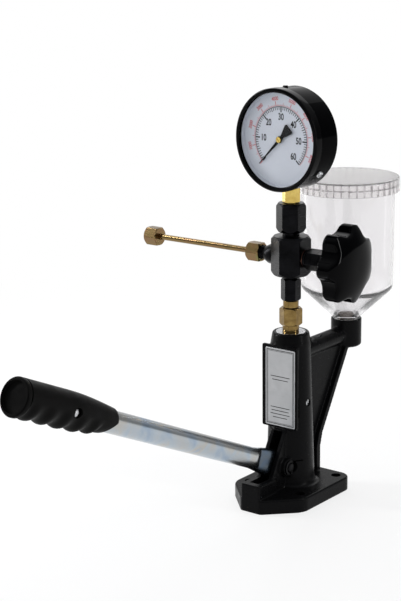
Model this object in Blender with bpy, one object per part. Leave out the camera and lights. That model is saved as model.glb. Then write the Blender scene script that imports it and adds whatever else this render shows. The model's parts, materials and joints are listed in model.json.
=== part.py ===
"""Hand-pumped diesel injector tester.

A lever lifts a plunger in a cast column. Oil comes from the clear cup through the casting's arm,
and leaves under pressure through a delivery valve into a valve block, which carries the gauge on
top, the injector pipe on one side and a shut-off valve with a star knob on the other.

Metres. Origin on the pump's axis, at the underside of the base. +Z is up, the gauge and the lever
face -Y, the oil cup is behind at +Y and the knob is at +X.
"""

import math

import bmesh
import bpy
from mathutils import Matrix, Vector

# Fits and cutting
GAP = 0.0003              # between two faces that touch
OVERRUN = 0.004           # how far a cutter runs past what it opens
MERGE = 0.000001          # points closer than this are one point
PASSAGE = 0.0015          # radius of every oil passage

# Base plate
BASE_THICKNESS = 0.0145
BASE_HALF_WIDTH = 0.043
BASE_REAR = 0.049
BASE_FRONT = 0.0695
BASE_FRONT_HALF = 0.0115
BASE_CORNER = 0.012
BASE_SHOULDER_ROUND = 0.007
BASE_FRONT_ROUND = 0.003
BASE_EDGE = 0.0016
HOLE_RADIUS = 0.005
HOLE_FRONT = 0.028        # front pair of holes, ahead of the pump's axis

# Pump column
COLUMN_HEIGHT = 0.171
COLUMN_TOP_RADIUS = 0.0184
COLUMN_SHOULDER_RADIUS = 0.0201
COLUMN_SHOULDER = 0.011   # below the top
COLUMN_FOOT_RADIUS = 0.0242
COLUMN_FLARE = 0.0035
COLUMN_RIM = 0.0012
SIDE_SLOT_Z = 0.0415
SIDE_SLOT_Y = 0.0135      # middle of the slot, ahead of the axis
SIDE_SLOT_LENGTH = 0.009
SIDE_SLOT_HEIGHT = 0.0012
SIDE_SLOT_DEPTH = 0.001

# Stop nose and lever cheeks
NOSE_HALF = 0.011
NOSE_TOP = 0.029
NOSE_REAR = 0.040
NOSE_WALL = 0.0065
CHEEK_HALF = 0.0094
CHEEK_TOP_Z = 0.078
CHEEK_TOP_REACH = 0.018   # ahead of the axis, under the nameplate panel
CHEEK_TOE_REACH = 0.0455  # ahead of the axis, level with the nose
BOSS_RADIUS = 0.0092
BOSS_HALF = 0.0145

# Nameplate panel
PANEL_HALF = 0.0212
PANEL_FRONT = 0.020
PANEL_THICKNESS = 0.0037
PANEL_LOW = 0.0745
PANEL_DROP = 0.0115       # from the column's top down to the panel's
PANEL_CORNER = 0.002
PANEL_BACK_HALF = 0.0175
PANEL_BACK_DEPTH = 0.009
POCKET_DEPTH = 0.003
POCKET_WIDTH = 0.0045
POCKET_HEIGHT_SHARE = 0.2412
POCKET_LOW_SHARES = (0.145, 0.625)
PLATE_HALF = 0.0176
PLATE_MARGIN = 0.0025     # bare panel above and below the plate
PLATE_THICKNESS = 0.0007

# Feed arm, web and cup socket
CUP_Y = 0.1014
SOCKET_RADIUS = 0.0159
SOCKET_DROP = 0.037       # from the column's top down to the socket's underside
SOCKET_HEIGHT = 0.0293
SOCKET_EDGE = 0.002
ARM_RADIUS = 0.009
ARM_DROP = 0.024          # from the column's top down to the arm's middle
WEB_HALF = 0.0035
RIM_HALF = 0.0085
RIM_WIDTH = 0.007
WEB_TOP_Y = 0.095         # rear edge of the web where it meets the socket
WEB_KNEE_Y = 0.046
WEB_KNEE_Z = 0.054
WEB_FOOT_Y = 0.042
WEB_FOOT_Z = 0.040

# Lever
PIVOT_REACH = 0.0225      # the pivot lies this far ahead of the pump's axis
PIVOT_Z = 0.0366
LEVER_REST = math.radians(24.2)
LEVER_TRAVEL = math.radians(17.0)
TUBE_RADIUS = 0.0105
TUBE_WALL = 0.002
TUBE_LENGTH = 0.395
FLAT_LENGTH = 0.0395
FLAT_HALF_THICKNESS = 0.0045
FLAT_HALF_HEIGHT = 0.0135
NECK_LENGTH = 0.014
END_REACH = 0.008
SLOT_SIDE = 0.0007        # room beside the flattened end in its slot
SLOT_ROOM = 0.0006        # room around what swings in the slot
ROCKER_ARM = 0.0237
ROCKER_NOSE = 0.005
ROCKER_HALF_HEIGHT = 0.0092
ROCKER_TAIL = 0.020
ROCKER_WAIST_SHARE = 0.53  # how far along its arm the top edge dips to clear the tappet
RIVET_RADIUS = 0.0015
RIVET_SPACING = 0.009
BUSH_RADIUS = 0.007
PIN_RADIUS = 0.005
PIN_STAND_OUT = 0.0012
CLIP_WIDTH = 0.0022
CLIP_THICKNESS = 0.001

# Grip
GRIP_LENGTH = 0.125
GRIP_OVERHANG = 0.0085    # how far the grip reaches past the tube's end
GRIP_HALF = 0.0172
GRIP_MOUTH_SHARE = 0.72
GRIP_BUMPS = 5
GRIP_BUMP_PITCH = 0.0205
GRIP_BUMP_DEPTH = 0.0026
GRIP_FLANGE = 0.006
GRIP_GROOVE = 0.0012
GRIP_DISH = 0.0025
GRIP_DISH_RADIUS = 0.0140
GRIP_HOLE_RADIUS = 0.0048
GRIP_HOLE_FROM_END = 0.057
BUTTON_RADIUS = 0.0042     # dome that shows in the grip's hole
BUTTON_HEIGHT = 0.003

# Pump element
TAPPET_RADIUS = 0.010
TAPPET_LENGTH = 0.014
PLUNGER_RADIUS = 0.004
PLUNGER_HEAD_RADIUS = 0.0058
PLUNGER_HEAD = 0.003
SPRING_RADIUS = 0.0079
SPRING_WIRE = 0.0022
SPRING_TURNS = 7
BARREL_LENGTH = 0.054
BARREL_RADIUS = 0.0125
BARREL_HEADROOM = 0.001
SEAT_HEIGHT = 0.006
SEAT_BORE = 0.0027
WASHER_THICKNESS = 0.0012
WASHER_BORE = 0.006
RING_RADIUS = 0.015
RING_BORE = 0.008
RING_HEIGHT = 0.0109
POPPET_STEM = 0.0023
POPPET_HEAD = 0.004
POPPET_HEAD_HEIGHT = 0.0024
POPPET_LIFT = 0.001
POPPET_SPRING_RADIUS = 0.0032
POPPET_SPRING_WIRE = 0.0008
POPPET_SPRING_TURNS = 6
CHAMBER_RADIUS = 0.005
CHAMBER_HEIGHT = 0.0155

# Fittings on the column, from the bottom up
HOLDER_NECK_RADIUS = 0.0084
HOLDER_NECK = 0.0064
HOLDER_FLATS = 0.0201
HOLDER_HEX = 0.0175
HOLDER_SPIGOT_RADIUS = 0.0045
HOLDER_SPIGOT = 0.016
BRASS_RING_RADIUS = 0.0078
BRASS_RING_HEIGHT = 0.0070
UNION_FLATS = 0.0175
UNION_HEX = 0.0221
UNION_NECK_RADIUS = 0.0066
UNION_NECK = 0.0034
UNION_SPIGOT_RADIUS = 0.005
UNION_SPIGOT = 0.0095
BLOCK_FLATS = 0.0346
BLOCK_HEIGHT = 0.039
BLOCK_PORT_HEIGHT = 0.018
BLOCK_CHAMFER = 0.0035
CROSS_PASSAGE = 0.0012    # radius of the level passage through the block
ADAPTER_SPIGOT_RADIUS = 0.006
ADAPTER_SPIGOT = 0.0113
ADAPTER_NECK_RADIUS = 0.0085
ADAPTER_NECK = 0.004
ADAPTER_FLATS = 0.0258
ADAPTER_HEX = 0.0286
ADAPTER_CHAMFER = 0.0035
GAUGE_THREAD_RADIUS = 0.0065
GAUGE_THREAD = 0.014
GAUGE_HEX_FLATS = 0.0155
GAUGE_HEX_SHOWN = 0.0138
GAUGE_BLOCK_RADIUS = 0.0065
GAUGE_BLOCK = 0.0125
HEX_CHAMFER = 0.0016

# Gauge
GAUGE_YAW = math.radians(-4.0)
CASE_RADIUS = 0.0495
CASE_WALL = 0.0016
CASE_BACK = 0.0104        # back face, behind the pump's axis
CASE_FRONT = 0.0202       # front lip of the case, ahead of the axis
BEZEL_RADIUS = 0.050
BEZEL_FRONT = 0.0251
BEZEL_DEPTH = 0.009
BEZEL_LIP = 0.0023
BEZEL_WALL = 0.0018
BEZEL_OPENING = 0.0455
LENS_THICKNESS = 0.002
DIAL_FACE = 0.0155
DIAL_THICKNESS = 0.0008
POINTER_LENGTH = 0.036
POINTER_TAIL = 0.0165
POINTER_TAIL_HALF = 0.0057
POINTER_HALF = 0.0016
POINTER_THICKNESS = 0.0005
POINTER_HUB = 0.0032
POINTER_CLEAR = 0.0020
POINTER_ZERO = math.radians(225.0)
SHAFT_RADIUS = 0.0012
PINION_RADIUS = 0.002
SECTOR_RADIUS = 0.018
SECTOR_RIM = 0.003
SECTOR_HALF_ANGLE = math.radians(24.0)
SECTOR_REST = math.radians(15.0)  # half of the sector's travel, so that it is upright in mid-scale
SECTOR_TAIL = 0.010
GEAR_THICKNESS = 0.002
FRAME_PLATE = 0.0012
FRAME_FRONT = 0.0135
FRAME_BACK = 0.0033
FRAME_HALF = 0.010
FRAME_ABOVE = 0.008
PILLAR_RADIUS = 0.0018
BOURDON_HALF = 0.0035
BOURDON_THICK = 0.003
BOURDON_SWEEP = math.radians(265.0)
VENT_RADIUS = 0.0018
VENT_CAP_RADIUS = 0.0026
VENT_CAP = 0.0012
VENT_FORWARD = 0.009
SCREW_RADIUS = 0.0015
SCREW_HEAD_RADIUS = 0.0036
SCREW_HEAD = 0.0026
SCREW_LENGTH = 0.005
SCREW_FORWARD = 0.0072
SCREW_ANGLES = (math.radians(-37.5), math.radians(221.0))

# Outlet, nuts and pipe
STUB_SPIGOT_RADIUS = 0.0055
STUB_SPIGOT = 0.009
STUB_ROOT_RADIUS = 0.010
STUB_CONE = 0.012
STUB_NECK_RADIUS = 0.0072
STUB_THREAD_RADIUS = 0.0066
STUB_THREAD = 0.012
NUT_FLATS = 0.018
NUT_LENGTH = 0.0155
NUT_BORE = 0.0069
NUT_BACK = 0.0035
PIPE_RADIUS = 0.003
PIPE_HEAD_RADIUS = 0.0055
PIPE_HEAD = 0.0042
PIPE_LENGTH = 0.132       # between the far ends of its two heads

# Shut-off valve
GLAND_COLLAR_RADIUS = 0.0092
GLAND_COLLAR = 0.002
GLAND_WASHER = 0.001
GLAND_FLATS = 0.019
GLAND_HEX = 0.0265
GLAND_TURN = math.radians(15.0)
GLAND_THREAD_RADIUS = 0.0075
GLAND_THREAD = 0.0113
STEM_RADIUS = 0.004
SEAL_WIDTH = 0.0016
SEAL_LENGTH = 0.0024
NEEDLE_RADIUS = 0.0022
NEEDLE_LENGTH = 0.0055
NEEDLE_CONE = 0.002
KNOB_GAP = 0.002          # between the gland and the knob's hub when the valve is shut
KNOB_HUB_RADIUS = 0.0115
KNOB_HUB = 0.0055
KNOB_THICKNESS = 0.0215
KNOB_RADIUS = 0.040
KNOB_VALLEY = 0.0325
KNOB_LOBES = 7
KNOB_ROUND = 0.005
KNOB_DOME = 0.0025
KNOB_FIRST_LOBE = math.radians(12.0)
INSERT_RADIUS = 0.007
INSERT_LENGTH = 0.018

# Oil cup
CUP_RADIUS = 0.0482
CUP_FOOT_RADIUS = 0.0477
CUP_WALL = 0.0025
CUP_HEIGHT = 0.1131       # from the seam round its foot up to its rim
CUP_SEAM_RISE = 0.0337    # from the socket's top up to the seam
CUP_ROUND = 0.0035
CUP_THROAT_RADIUS = 0.0145
CUP_NECK_RADIUS = 0.0115
CUP_NECK = 0.014
CUP_SEAL = 0.0015
CUP_NECK_WALL = 0.002
STRAINER_RADIUS = 0.006
STRAINER_HEIGHT = 0.018
STRAINER_FLOOR = 0.001
LID_RADIUS = 0.0527
LID_HEIGHT = 0.0147
LID_TOP = 0.0025
LID_WALL = 0.0025
LID_RIBS = 42
LID_RIB_DEPTH = 0.0009
LID_EDGE = 0.0015

# Bleed screw
BLEED_DROP = 0.071        # from the column's top down to the screw's middle
BLEED_RADIUS = 0.0034
BLEED_HOLE = 0.0038
BLEED_LENGTH = 0.005
BLEED_SUNK = 0.0015

# Facets round a full turn
FINE = 36
ROUND = 20
SMALL = 12
COARSE = 8
LOFT = 16

# Heights and places that follow from the sizes above
PANEL_TOP = COLUMN_HEIGHT - PANEL_DROP
PANEL_HEIGHT = PANEL_TOP - PANEL_LOW
PLATE_HEIGHT = PANEL_HEIGHT - 2 * PLATE_MARGIN
POCKET_HEIGHT = POCKET_HEIGHT_SHARE * PANEL_HEIGHT
POCKET_LOWS = tuple(PANEL_LOW + share * PANEL_HEIGHT for share in POCKET_LOW_SHARES)
BLEED_Z = COLUMN_HEIGHT - BLEED_DROP
ARM_Z = COLUMN_HEIGHT - ARM_DROP
ROCKER_Z = PIVOT_Z - ROCKER_ARM * math.sin(LEVER_REST)
PLUNGER_LIFT = ROCKER_ARM * (math.sin(LEVER_REST) - math.sin(LEVER_REST - LEVER_TRAVEL))
TAPPET_LOW = ROCKER_Z + ROCKER_NOSE + GAP
TAPPET_TOP = TAPPET_LOW + TAPPET_LENGTH
SLOT_HALF = FLAT_HALF_THICKNESS + SLOT_SIDE
GRIP_START = TUBE_LENGTH + GRIP_OVERHANG - GRIP_LENGTH
GRIP_HOLE_FROM_PIVOT = TUBE_LENGTH - GRIP_HOLE_FROM_END
SLOT_FLOOR = min(ROCKER_Z - ROCKER_NOSE, PIVOT_Z - FLAT_HALF_HEIGHT) - SLOT_ROOM
SLOT_REAR = ROCKER_ARM + ROCKER_NOSE - PIVOT_REACH + SLOT_ROOM
RING_LOW = COLUMN_HEIGHT - RING_HEIGHT
WASHER_LOW = RING_LOW - GAP - WASHER_THICKNESS
SEAT_TOP = WASHER_LOW - GAP
SEAT_LOW = SEAT_TOP - SEAT_HEIGHT
BARREL_TOP = SEAT_LOW - GAP
BARREL_LOW = BARREL_TOP - BARREL_LENGTH
HOLDER_HEX_LOW = COLUMN_HEIGHT + GAP + HOLDER_NECK
HOLDER_HEX_TOP = HOLDER_HEX_LOW + HOLDER_HEX
UNION_LOW = HOLDER_HEX_TOP + BRASS_RING_HEIGHT + 2 * GAP
UNION_TOP = UNION_LOW + UNION_HEX + UNION_NECK
BLOCK_LOW = UNION_TOP + GAP
BLOCK_TOP = BLOCK_LOW + BLOCK_HEIGHT
CROSS_Z = BLOCK_LOW + BLOCK_PORT_HEIGHT
ADAPTER_HEX_LOW = BLOCK_TOP + GAP + ADAPTER_NECK
ADAPTER_TOP = ADAPTER_HEX_LOW + ADAPTER_HEX
GAUGE_HEX_LOW = ADAPTER_TOP + GAP
GAUGE_Z = GAUGE_HEX_LOW + GAUGE_HEX_SHOWN + CASE_RADIUS
FRAME_DROP = CASE_RADIUS - CASE_WALL - GAUGE_BLOCK - GAP
BOURDON_INNER = math.hypot(FRAME_HALF, FRAME_DROP) + GAP
BOURDON_RADIUS = BOURDON_INNER + BOURDON_THICK / 2
BOURDON_START = -math.acos((GAUGE_BLOCK_RADIUS + GAP) / BOURDON_INNER)
GAUGE_HEX_HOLE = GAUGE_HEX_FLATS / math.sqrt(3) + GAP
BLOCK_HALF = BLOCK_FLATS / 2
STUB_FACE = BLOCK_HALF + GAP
STUB_END = STUB_FACE + STUB_CONE + STUB_THREAD
GLAND_WASHER_FACE = BLOCK_HALF + GAP
GLAND_FACE = GLAND_WASHER_FACE + GLAND_WASHER + GAP
GLAND_END = GLAND_FACE + GLAND_COLLAR + GLAND_HEX
KNOB_BACK = GLAND_END + KNOB_GAP
SOCKET_LOW = COLUMN_HEIGHT - SOCKET_DROP
SOCKET_TOP = SOCKET_LOW + SOCKET_HEIGHT
CUP_SEAM_Z = SOCKET_TOP + CUP_SEAM_RISE
CUP_TOP = CUP_SEAM_Z + CUP_HEIGHT
CUP_NECK_LOW = SOCKET_TOP + GAP - CUP_NECK

# Frames: each maps a piece's own axes to the tester's
UPRIGHT = Matrix.Identity(4)
TO_RIGHT = Matrix.Translation((0, 0, CROSS_Z)) @ Matrix.Rotation(math.pi / 2, 4, "Y")
TO_LEFT = Matrix.Translation((0, 0, CROSS_Z)) @ Matrix.Rotation(-math.pi / 2, 4, "Y")
AT_CUP = Matrix.Translation((0, CUP_Y, 0))
AT_GAUGE = (Matrix.Translation((0, 0, GAUGE_Z)) @ Matrix.Rotation(GAUGE_YAW, 4, "Z")
            @ Matrix.Rotation(math.pi / 2, 4, "X"))
AT_LEVER = (Matrix.Translation((0, -PIVOT_REACH, PIVOT_Z))
            @ Matrix.Rotation(-LEVER_REST, 4, "X"))


def clear_scene():
    for item in list(bpy.data.objects):
        bpy.data.objects.remove(item, do_unlink=True)


def finish(name, colour, roughness, metallic=0.0, alpha=1.0):
    """Material of one Principled BSDF."""
    made = bpy.data.materials.get(name)
    if made:
        return made
    made = bpy.data.materials.new(name)
    made.use_nodes = True
    shader = made.node_tree.nodes["Principled BSDF"]
    shader.inputs["Base Color"].default_value = (*colour, 1.0)
    shader.inputs["Roughness"].default_value = roughness
    shader.inputs["Metallic"].default_value = metallic
    shader.inputs["Alpha"].default_value = alpha
    return made


def enamel():
    return finish("black_enamel", (0.012, 0.012, 0.013), 0.28)


def blacked():
    return finish("black_oxide_steel", (0.02, 0.02, 0.022), 0.35, 0.6)


def brass():
    return finish("brass", (0.72, 0.52, 0.22), 0.28, 1.0)


def yellow_zinc():
    return finish("yellow_zinc_steel", (0.55, 0.42, 0.24), 0.32, 1.0)


def zinc():
    return finish("zinc_plated_steel", (0.62, 0.66, 0.70), 0.3, 1.0)


def bright_steel():
    return finish("bright_steel", (0.66, 0.66, 0.67), 0.22, 1.0)


def copper():
    return finish("copper", (0.72, 0.33, 0.2), 0.35, 1.0)


def rubber():
    return finish("black_rubber", (0.02, 0.02, 0.02), 0.7)


def black_plastic():
    return finish("black_moulded_plastic", (0.012, 0.012, 0.014), 0.16)


def clear_plastic():
    return finish("clear_plastic", (0.9, 0.92, 0.93), 0.05, 0.0, 0.25)


def white_paint():
    return finish("white_paint", (0.86, 0.87, 0.87), 0.5)


def add(name, mesh, look, place=UPRIGHT):
    """Object from a bmesh in its own axes; place puts its origin and turns it."""
    bmesh.ops.remove_doubles(mesh, verts=mesh.verts, dist=MERGE)
    bmesh.ops.recalc_face_normals(mesh, faces=mesh.faces)
    data = bpy.data.meshes.new(name)
    mesh.to_mesh(data)
    mesh.free()
    data.shade_smooth()
    data.set_sharp_from_angle(angle=math.radians(35))
    made = bpy.data.objects.new(name, data)
    made.matrix_world = place
    if look:
        data.materials.append(look)
    bpy.context.scene.collection.objects.link(made)
    return made


def combine(target, operation, tools):
    """Boolean modifiers on target, one for each (mesh, place), whose objects stay as hidden guides."""
    for count, (mesh, place) in enumerate(tools):
        guide = add(f"{target.name}_{operation.lower()}_{len(target.modifiers)}", mesh, None, place)
        guide.hide_render = True
        guide.display_type = "WIRE"
        step = target.modifiers.new(f"{operation.lower()}_{count}", "BOOLEAN")
        step.operation = operation
        step.object = guide
    return target


def cut(target, *tools):
    return combine(target, "DIFFERENCE", tools)


def join(target, *tools):
    return combine(target, "UNION", tools)


def keep(target, *tools):
    return combine(target, "INTERSECT", tools)


def turned(outline, facets=ROUND):
    """Closed outline of (radius, height) spun about Z. Points on the axis close it."""
    mesh = bmesh.new()
    points = [mesh.verts.new((radius, 0, height)) for radius, height in outline]
    pairs = list(zip(points, points[1:] + points[:1]))
    on_axis = [outline[index][0] == 0 for index in range(len(outline))]
    edges = [mesh.edges.new(pair) for index, pair in enumerate(pairs)
             if not (on_axis[index] and on_axis[(index + 1) % len(outline)])]
    bmesh.ops.spin(mesh, geom=points + edges, cent=(0, 0, 0), axis=(0, 0, 1),
                   angle=2 * math.pi, steps=facets, use_merge=True, use_duplicate=False)
    return mesh


def rod(radius, low, high, facets=SMALL):
    return turned([(0, low), (radius, low), (radius, high), (0, high)], facets)


def sleeve(inner, outer, low, high, facets=ROUND):
    return turned([(inner, low), (outer, low), (outer, high), (inner, high)], facets)


def prism(outline, low, high):
    """Flat outline of (x, y) drawn up from low to high."""
    mesh = bmesh.new()
    face = mesh.faces.new([mesh.verts.new((x, y, low)) for x, y in outline])
    top = bmesh.ops.extrude_face_region(mesh, geom=[face])["geom"]
    moved = [item for item in top if isinstance(item, bmesh.types.BMVert)]
    bmesh.ops.translate(mesh, verts=moved, vec=(0, 0, high - low))
    return mesh


def side_plate(outline, half):
    """Outline of (y, z) drawn out to half on both sides of the middle plane."""
    mesh = prism(outline, -half, half)
    bmesh.ops.transform(mesh, matrix=Matrix(((0, 0, 1, 0), (1, 0, 0, 0), (0, 1, 0, 0), (0, 0, 0, 1))),
                        verts=mesh.verts)
    return mesh


def block(low, high):
    """Box between two corners."""
    (x0, y0, z0), (x1, y1, z1) = low, high
    return prism([(x0, y0), (x1, y0), (x1, y1), (x0, y1)], z0, z1)


def loft(rings):
    """Rings of points joined in order and capped at both ends."""
    mesh = bmesh.new()
    loops = [[mesh.verts.new(point) for point in ring] for ring in rings]
    for near, far in zip(loops, loops[1:]):
        for index in range(len(near)):
            after = (index + 1) % len(near)
            mesh.faces.new((near[index], near[after], far[after], far[index]))
    mesh.faces.new(loops[0])
    mesh.faces.new(loops[-1])
    return mesh


def corner(centre, radius, start, end, steps=5):
    """Points of an arc in the plane, from one angle in degrees to another."""
    points = []
    for step in range(steps + 1):
        angle = math.radians(start + (end - start) * step / steps)
        points.append((centre[0] + radius * math.cos(angle), centre[1] + radius * math.sin(angle)))
    return points


def rounded(corners, steps=4):
    """Outline through corners of (x, y, radius), each rounded to its radius."""
    outline = []
    for index, (x, y, radius) in enumerate(corners):
        here = Vector((x, y))
        before = (Vector(corners[index - 1][:2]) - here).normalized()
        after = (Vector(corners[(index + 1) % len(corners)][:2]) - here).normalized()
        half = before.angle(after) / 2
        centre = here + (before + after).normalized() * radius / math.sin(half)
        start = (here + before * radius / math.tan(half) - centre).normalized()
        end = (here + after * radius / math.tan(half) - centre).normalized()
        outline += [tuple(centre + start.slerp(end, step / steps) * radius) for step in range(steps + 1)]
    return outline


def hexagon(flats, turn=0.0):
    """Corners of a hexagon with one flat facing turn."""
    radius = flats / math.sqrt(3)
    return [(radius * math.cos(turn + math.radians(30 + 60 * side)),
             radius * math.sin(turn + math.radians(30 + 60 * side))) for side in range(6)]


def hex_blank(name, look, flats, low, high, chamfer, place=UPRIGHT, turn=0.0):
    """Hexagonal bar whose two ends are turned to a chamfer that just meets the flats."""
    made = add(name, prism(hexagon(flats, turn), low, high), look, place)
    across = flats / math.sqrt(3)
    land = flats / 2 - GAP
    mask = turned([(0, low - OVERRUN), (land, low - OVERRUN), (land, low), (across + GAP, low + chamfer),
                   (across + GAP, high - chamfer), (land, high), (land, high + OVERRUN),
                   (0, high + OVERRUN)])
    return keep(made, (mask, place))


def coil(name, radius, wire, low, high, turns, look, place=UPRIGHT, points=8):
    """Open wire spring between two heights, with its wire's surface on both of them."""
    start, end = low + wire / 2, high - wire / 2
    data = bpy.data.curves.new(name, "CURVE")
    data.dimensions = "3D"
    data.bevel_depth = wire / 2
    data.bevel_resolution = 1
    data.use_fill_caps = True
    path = data.splines.new("POLY")
    path.points.add(turns * points)
    for index, point in enumerate(path.points):
        angle = 2 * math.pi * index / points
        height = start + (end - start) * index / (turns * points)
        point.co = (radius * math.cos(angle), radius * math.sin(angle), height, 1)
    data.materials.append(look)
    made = bpy.data.objects.new(name, data)
    made.matrix_world = place
    bpy.context.scene.collection.objects.link(made)
    print(f"{name}: least gap between turns {1000 * ((end - start) / turns - wire):.2f} mm")
    return made


def base_plate():
    """Rounded plate whose front is drawn in at 45 degrees to the nose."""
    shoulder = -(BASE_FRONT - (BASE_HALF_WIDTH - BASE_FRONT_HALF))
    right = [(BASE_FRONT_HALF, -BASE_FRONT, BASE_FRONT_ROUND),
             (BASE_HALF_WIDTH, shoulder, BASE_SHOULDER_ROUND), (BASE_HALF_WIDTH, BASE_REAR, BASE_CORNER)]
    mesh = prism(rounded(right + [(-x, y, radius) for x, y, radius in reversed(right)]), 0,
                 BASE_THICKNESS)
    upper = [edge for edge in mesh.edges if all(vert.co.z > BASE_THICKNESS / 2 for vert in edge.verts)]
    bmesh.ops.bevel(mesh, geom=upper, offset=BASE_EDGE, segments=2, profile=0.5, affect="EDGES",
                    material=-1)
    return mesh


def column():
    """Tapered column with a flared foot inside the plate and a chamfered rim."""
    middle = BASE_THICKNESS / 2
    return turned([(0, middle), (COLUMN_FOOT_RADIUS + COLUMN_FLARE, middle),
                   (COLUMN_FOOT_RADIUS + COLUMN_FLARE, BASE_THICKNESS + GAP),
                   (COLUMN_FOOT_RADIUS + COLUMN_FLARE / 4, BASE_THICKNESS + COLUMN_FLARE / 2),
                   (COLUMN_FOOT_RADIUS, BASE_THICKNESS + 2 * COLUMN_FLARE),
                   (COLUMN_SHOULDER_RADIUS, COLUMN_HEIGHT - COLUMN_SHOULDER),
                   (COLUMN_TOP_RADIUS, COLUMN_HEIGHT - COLUMN_RIM),
                   (COLUMN_TOP_RADIUS - COLUMN_RIM, COLUMN_HEIGHT), (0, COLUMN_HEIGHT)], FINE)


def cheeks():
    middle = BASE_THICKNESS / 2
    return side_plate([(0, middle), (0, CHEEK_TOP_Z), (-CHEEK_TOP_REACH, CHEEK_TOP_Z),
                       (-CHEEK_TOE_REACH, NOSE_TOP), (-CHEEK_TOE_REACH, middle)], CHEEK_HALF)


def nose():
    rear, front = -NOSE_REAR, -BASE_FRONT
    return side_plate([(rear, BASE_THICKNESS / 2), (rear, NOSE_TOP - BASE_EDGE),
                       (rear - BASE_EDGE, NOSE_TOP), (front + BASE_EDGE, NOSE_TOP),
                       (front, NOSE_TOP - BASE_EDGE), (front, BASE_THICKNESS / 2)], NOSE_HALF)


def panel():
    """Upright panel for the nameplate."""
    half = PANEL_HALF
    corners = [(x, z, PANEL_CORNER) for x, z in ((-half, PANEL_LOW), (half, PANEL_LOW), (half, PANEL_TOP),
                                                 (-half, PANEL_TOP))]
    mesh = prism(rounded(corners, 2), PANEL_FRONT - PANEL_THICKNESS, PANEL_FRONT)
    bmesh.ops.rotate(mesh, cent=(0, 0, 0), matrix=Matrix.Rotation(math.pi / 2, 3, "X"), verts=mesh.verts)
    return mesh


def panel_back():
    """Block that ties the panel to the column."""
    rear = -(PANEL_FRONT - PANEL_THICKNESS - PANEL_BACK_DEPTH)
    front = -(PANEL_FRONT - PANEL_THICKNESS / 2)
    return block((-PANEL_BACK_HALF, front, PANEL_LOW + PANEL_CORNER),
                 (PANEL_BACK_HALF, rear, PANEL_TOP - PANEL_CORNER))


def panel_relief():
    """Takes the column's widest part away from where the panel's front will be."""
    return block((-PANEL_HALF, -PANEL_FRONT - OVERRUN, PANEL_LOW - GAP),
                 (PANEL_HALF, -PANEL_FRONT + PANEL_THICKNESS / 3, PANEL_TOP))


def pockets():
    """Two hollows on each side, behind the panel."""
    front = -(PANEL_FRONT - PANEL_THICKNESS)
    tools = []
    for side in (-1, 1):
        for low in POCKET_LOWS:
            near = side * (PANEL_BACK_HALF - POCKET_DEPTH)
            far = side * (PANEL_BACK_HALF + OVERRUN)
            tools.append((block((min(near, far), front, low),
                                (max(near, far), front + POCKET_WIDTH, low + POCKET_HEIGHT)), UPRIGHT))
    return tools


def column_radius(height):
    """Radius of the column between its foot and its shoulder."""
    shoulder = COLUMN_HEIGHT - COLUMN_SHOULDER
    share = (height - BASE_THICKNESS) / (shoulder - BASE_THICKNESS)
    return COLUMN_FOOT_RADIUS + (COLUMN_SHOULDER_RADIUS - COLUMN_FOOT_RADIUS) * share


def side_slot():
    """Short level slot in the right side of the column, above the pivot."""
    radius = column_radius(SIDE_SLOT_Z)
    depth = math.sqrt(radius ** 2 - SIDE_SLOT_Y ** 2) - SIDE_SLOT_DEPTH
    reach = SIDE_SLOT_LENGTH / 2
    return block((depth - reach, -SIDE_SLOT_Y - reach, SIDE_SLOT_Z),
                 (radius + OVERRUN, -SIDE_SLOT_Y + reach, SIDE_SLOT_Z + SIDE_SLOT_HEIGHT))


def web_edge(inset):
    """Rear edge of the web, moved in by inset, from the socket down to the plate."""
    return [(WEB_TOP_Y - inset, SOCKET_LOW + SOCKET_EDGE + GAP), (WEB_KNEE_Y - inset, WEB_KNEE_Z),
            (WEB_FOOT_Y - inset, WEB_FOOT_Z), (WEB_FOOT_Y - inset, BASE_THICKNESS / 2)]


def web():
    return side_plate([(0, BASE_THICKNESS / 2), (0, ARM_Z), (WEB_TOP_Y - RIM_WIDTH / 2, ARM_Z)]
                      + web_edge(RIM_WIDTH / 2), WEB_HALF)


def web_rim():
    return side_plate(web_edge(0) + list(reversed(web_edge(RIM_WIDTH))), RIM_HALF)


def along_y(mesh, low_y):
    """Turns a piece built along Z to run along +Y from low_y, at the arm's height."""
    bmesh.ops.transform(mesh, matrix=Matrix.Translation((0, low_y, ARM_Z))
                        @ Matrix.Rotation(-math.pi / 2, 4, "X"), verts=mesh.verts)
    return mesh


def socket():
    radius = SOCKET_RADIUS
    return turned([(0, SOCKET_LOW), (radius - SOCKET_EDGE, SOCKET_LOW), (radius, SOCKET_LOW + SOCKET_EDGE),
                   (radius, SOCKET_TOP), (0, SOCKET_TOP)])


def lever_slot():
    """Room for the flattened end and the rocker: open in front, deeper than the cheeks are high."""
    front = -(BASE_FRONT - NOSE_WALL)
    shallow_rear = -(TAPPET_RADIUS + SLOT_ROOM)
    low = block((-SLOT_HALF, front, SLOT_FLOOR),
                (SLOT_HALF, SLOT_REAR, PIVOT_Z + FLAT_HALF_HEIGHT + SLOT_ROOM))
    high = block((-SLOT_HALF, front, PIVOT_Z), (SLOT_HALF, shallow_rear, PANEL_LOW - PANEL_CORNER))
    return (low, UPRIGHT), (high, UPRIGHT)


def column_bore():
    """Stepped bore, from the clamp ring's seat down to the tappet's guide."""
    guide, barrel, ring = TAPPET_RADIUS + GAP, BARREL_RADIUS + GAP, RING_RADIUS + GAP
    return turned([(0, TAPPET_LOW - SLOT_ROOM), (guide, TAPPET_LOW - SLOT_ROOM), (guide, BARREL_LOW - GAP),
                   (barrel, BARREL_LOW - GAP), (barrel, RING_LOW - GAP), (ring, RING_LOW - GAP),
                   (ring, COLUMN_HEIGHT + OVERRUN), (0, COLUMN_HEIGHT + OVERRUN)])


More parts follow.
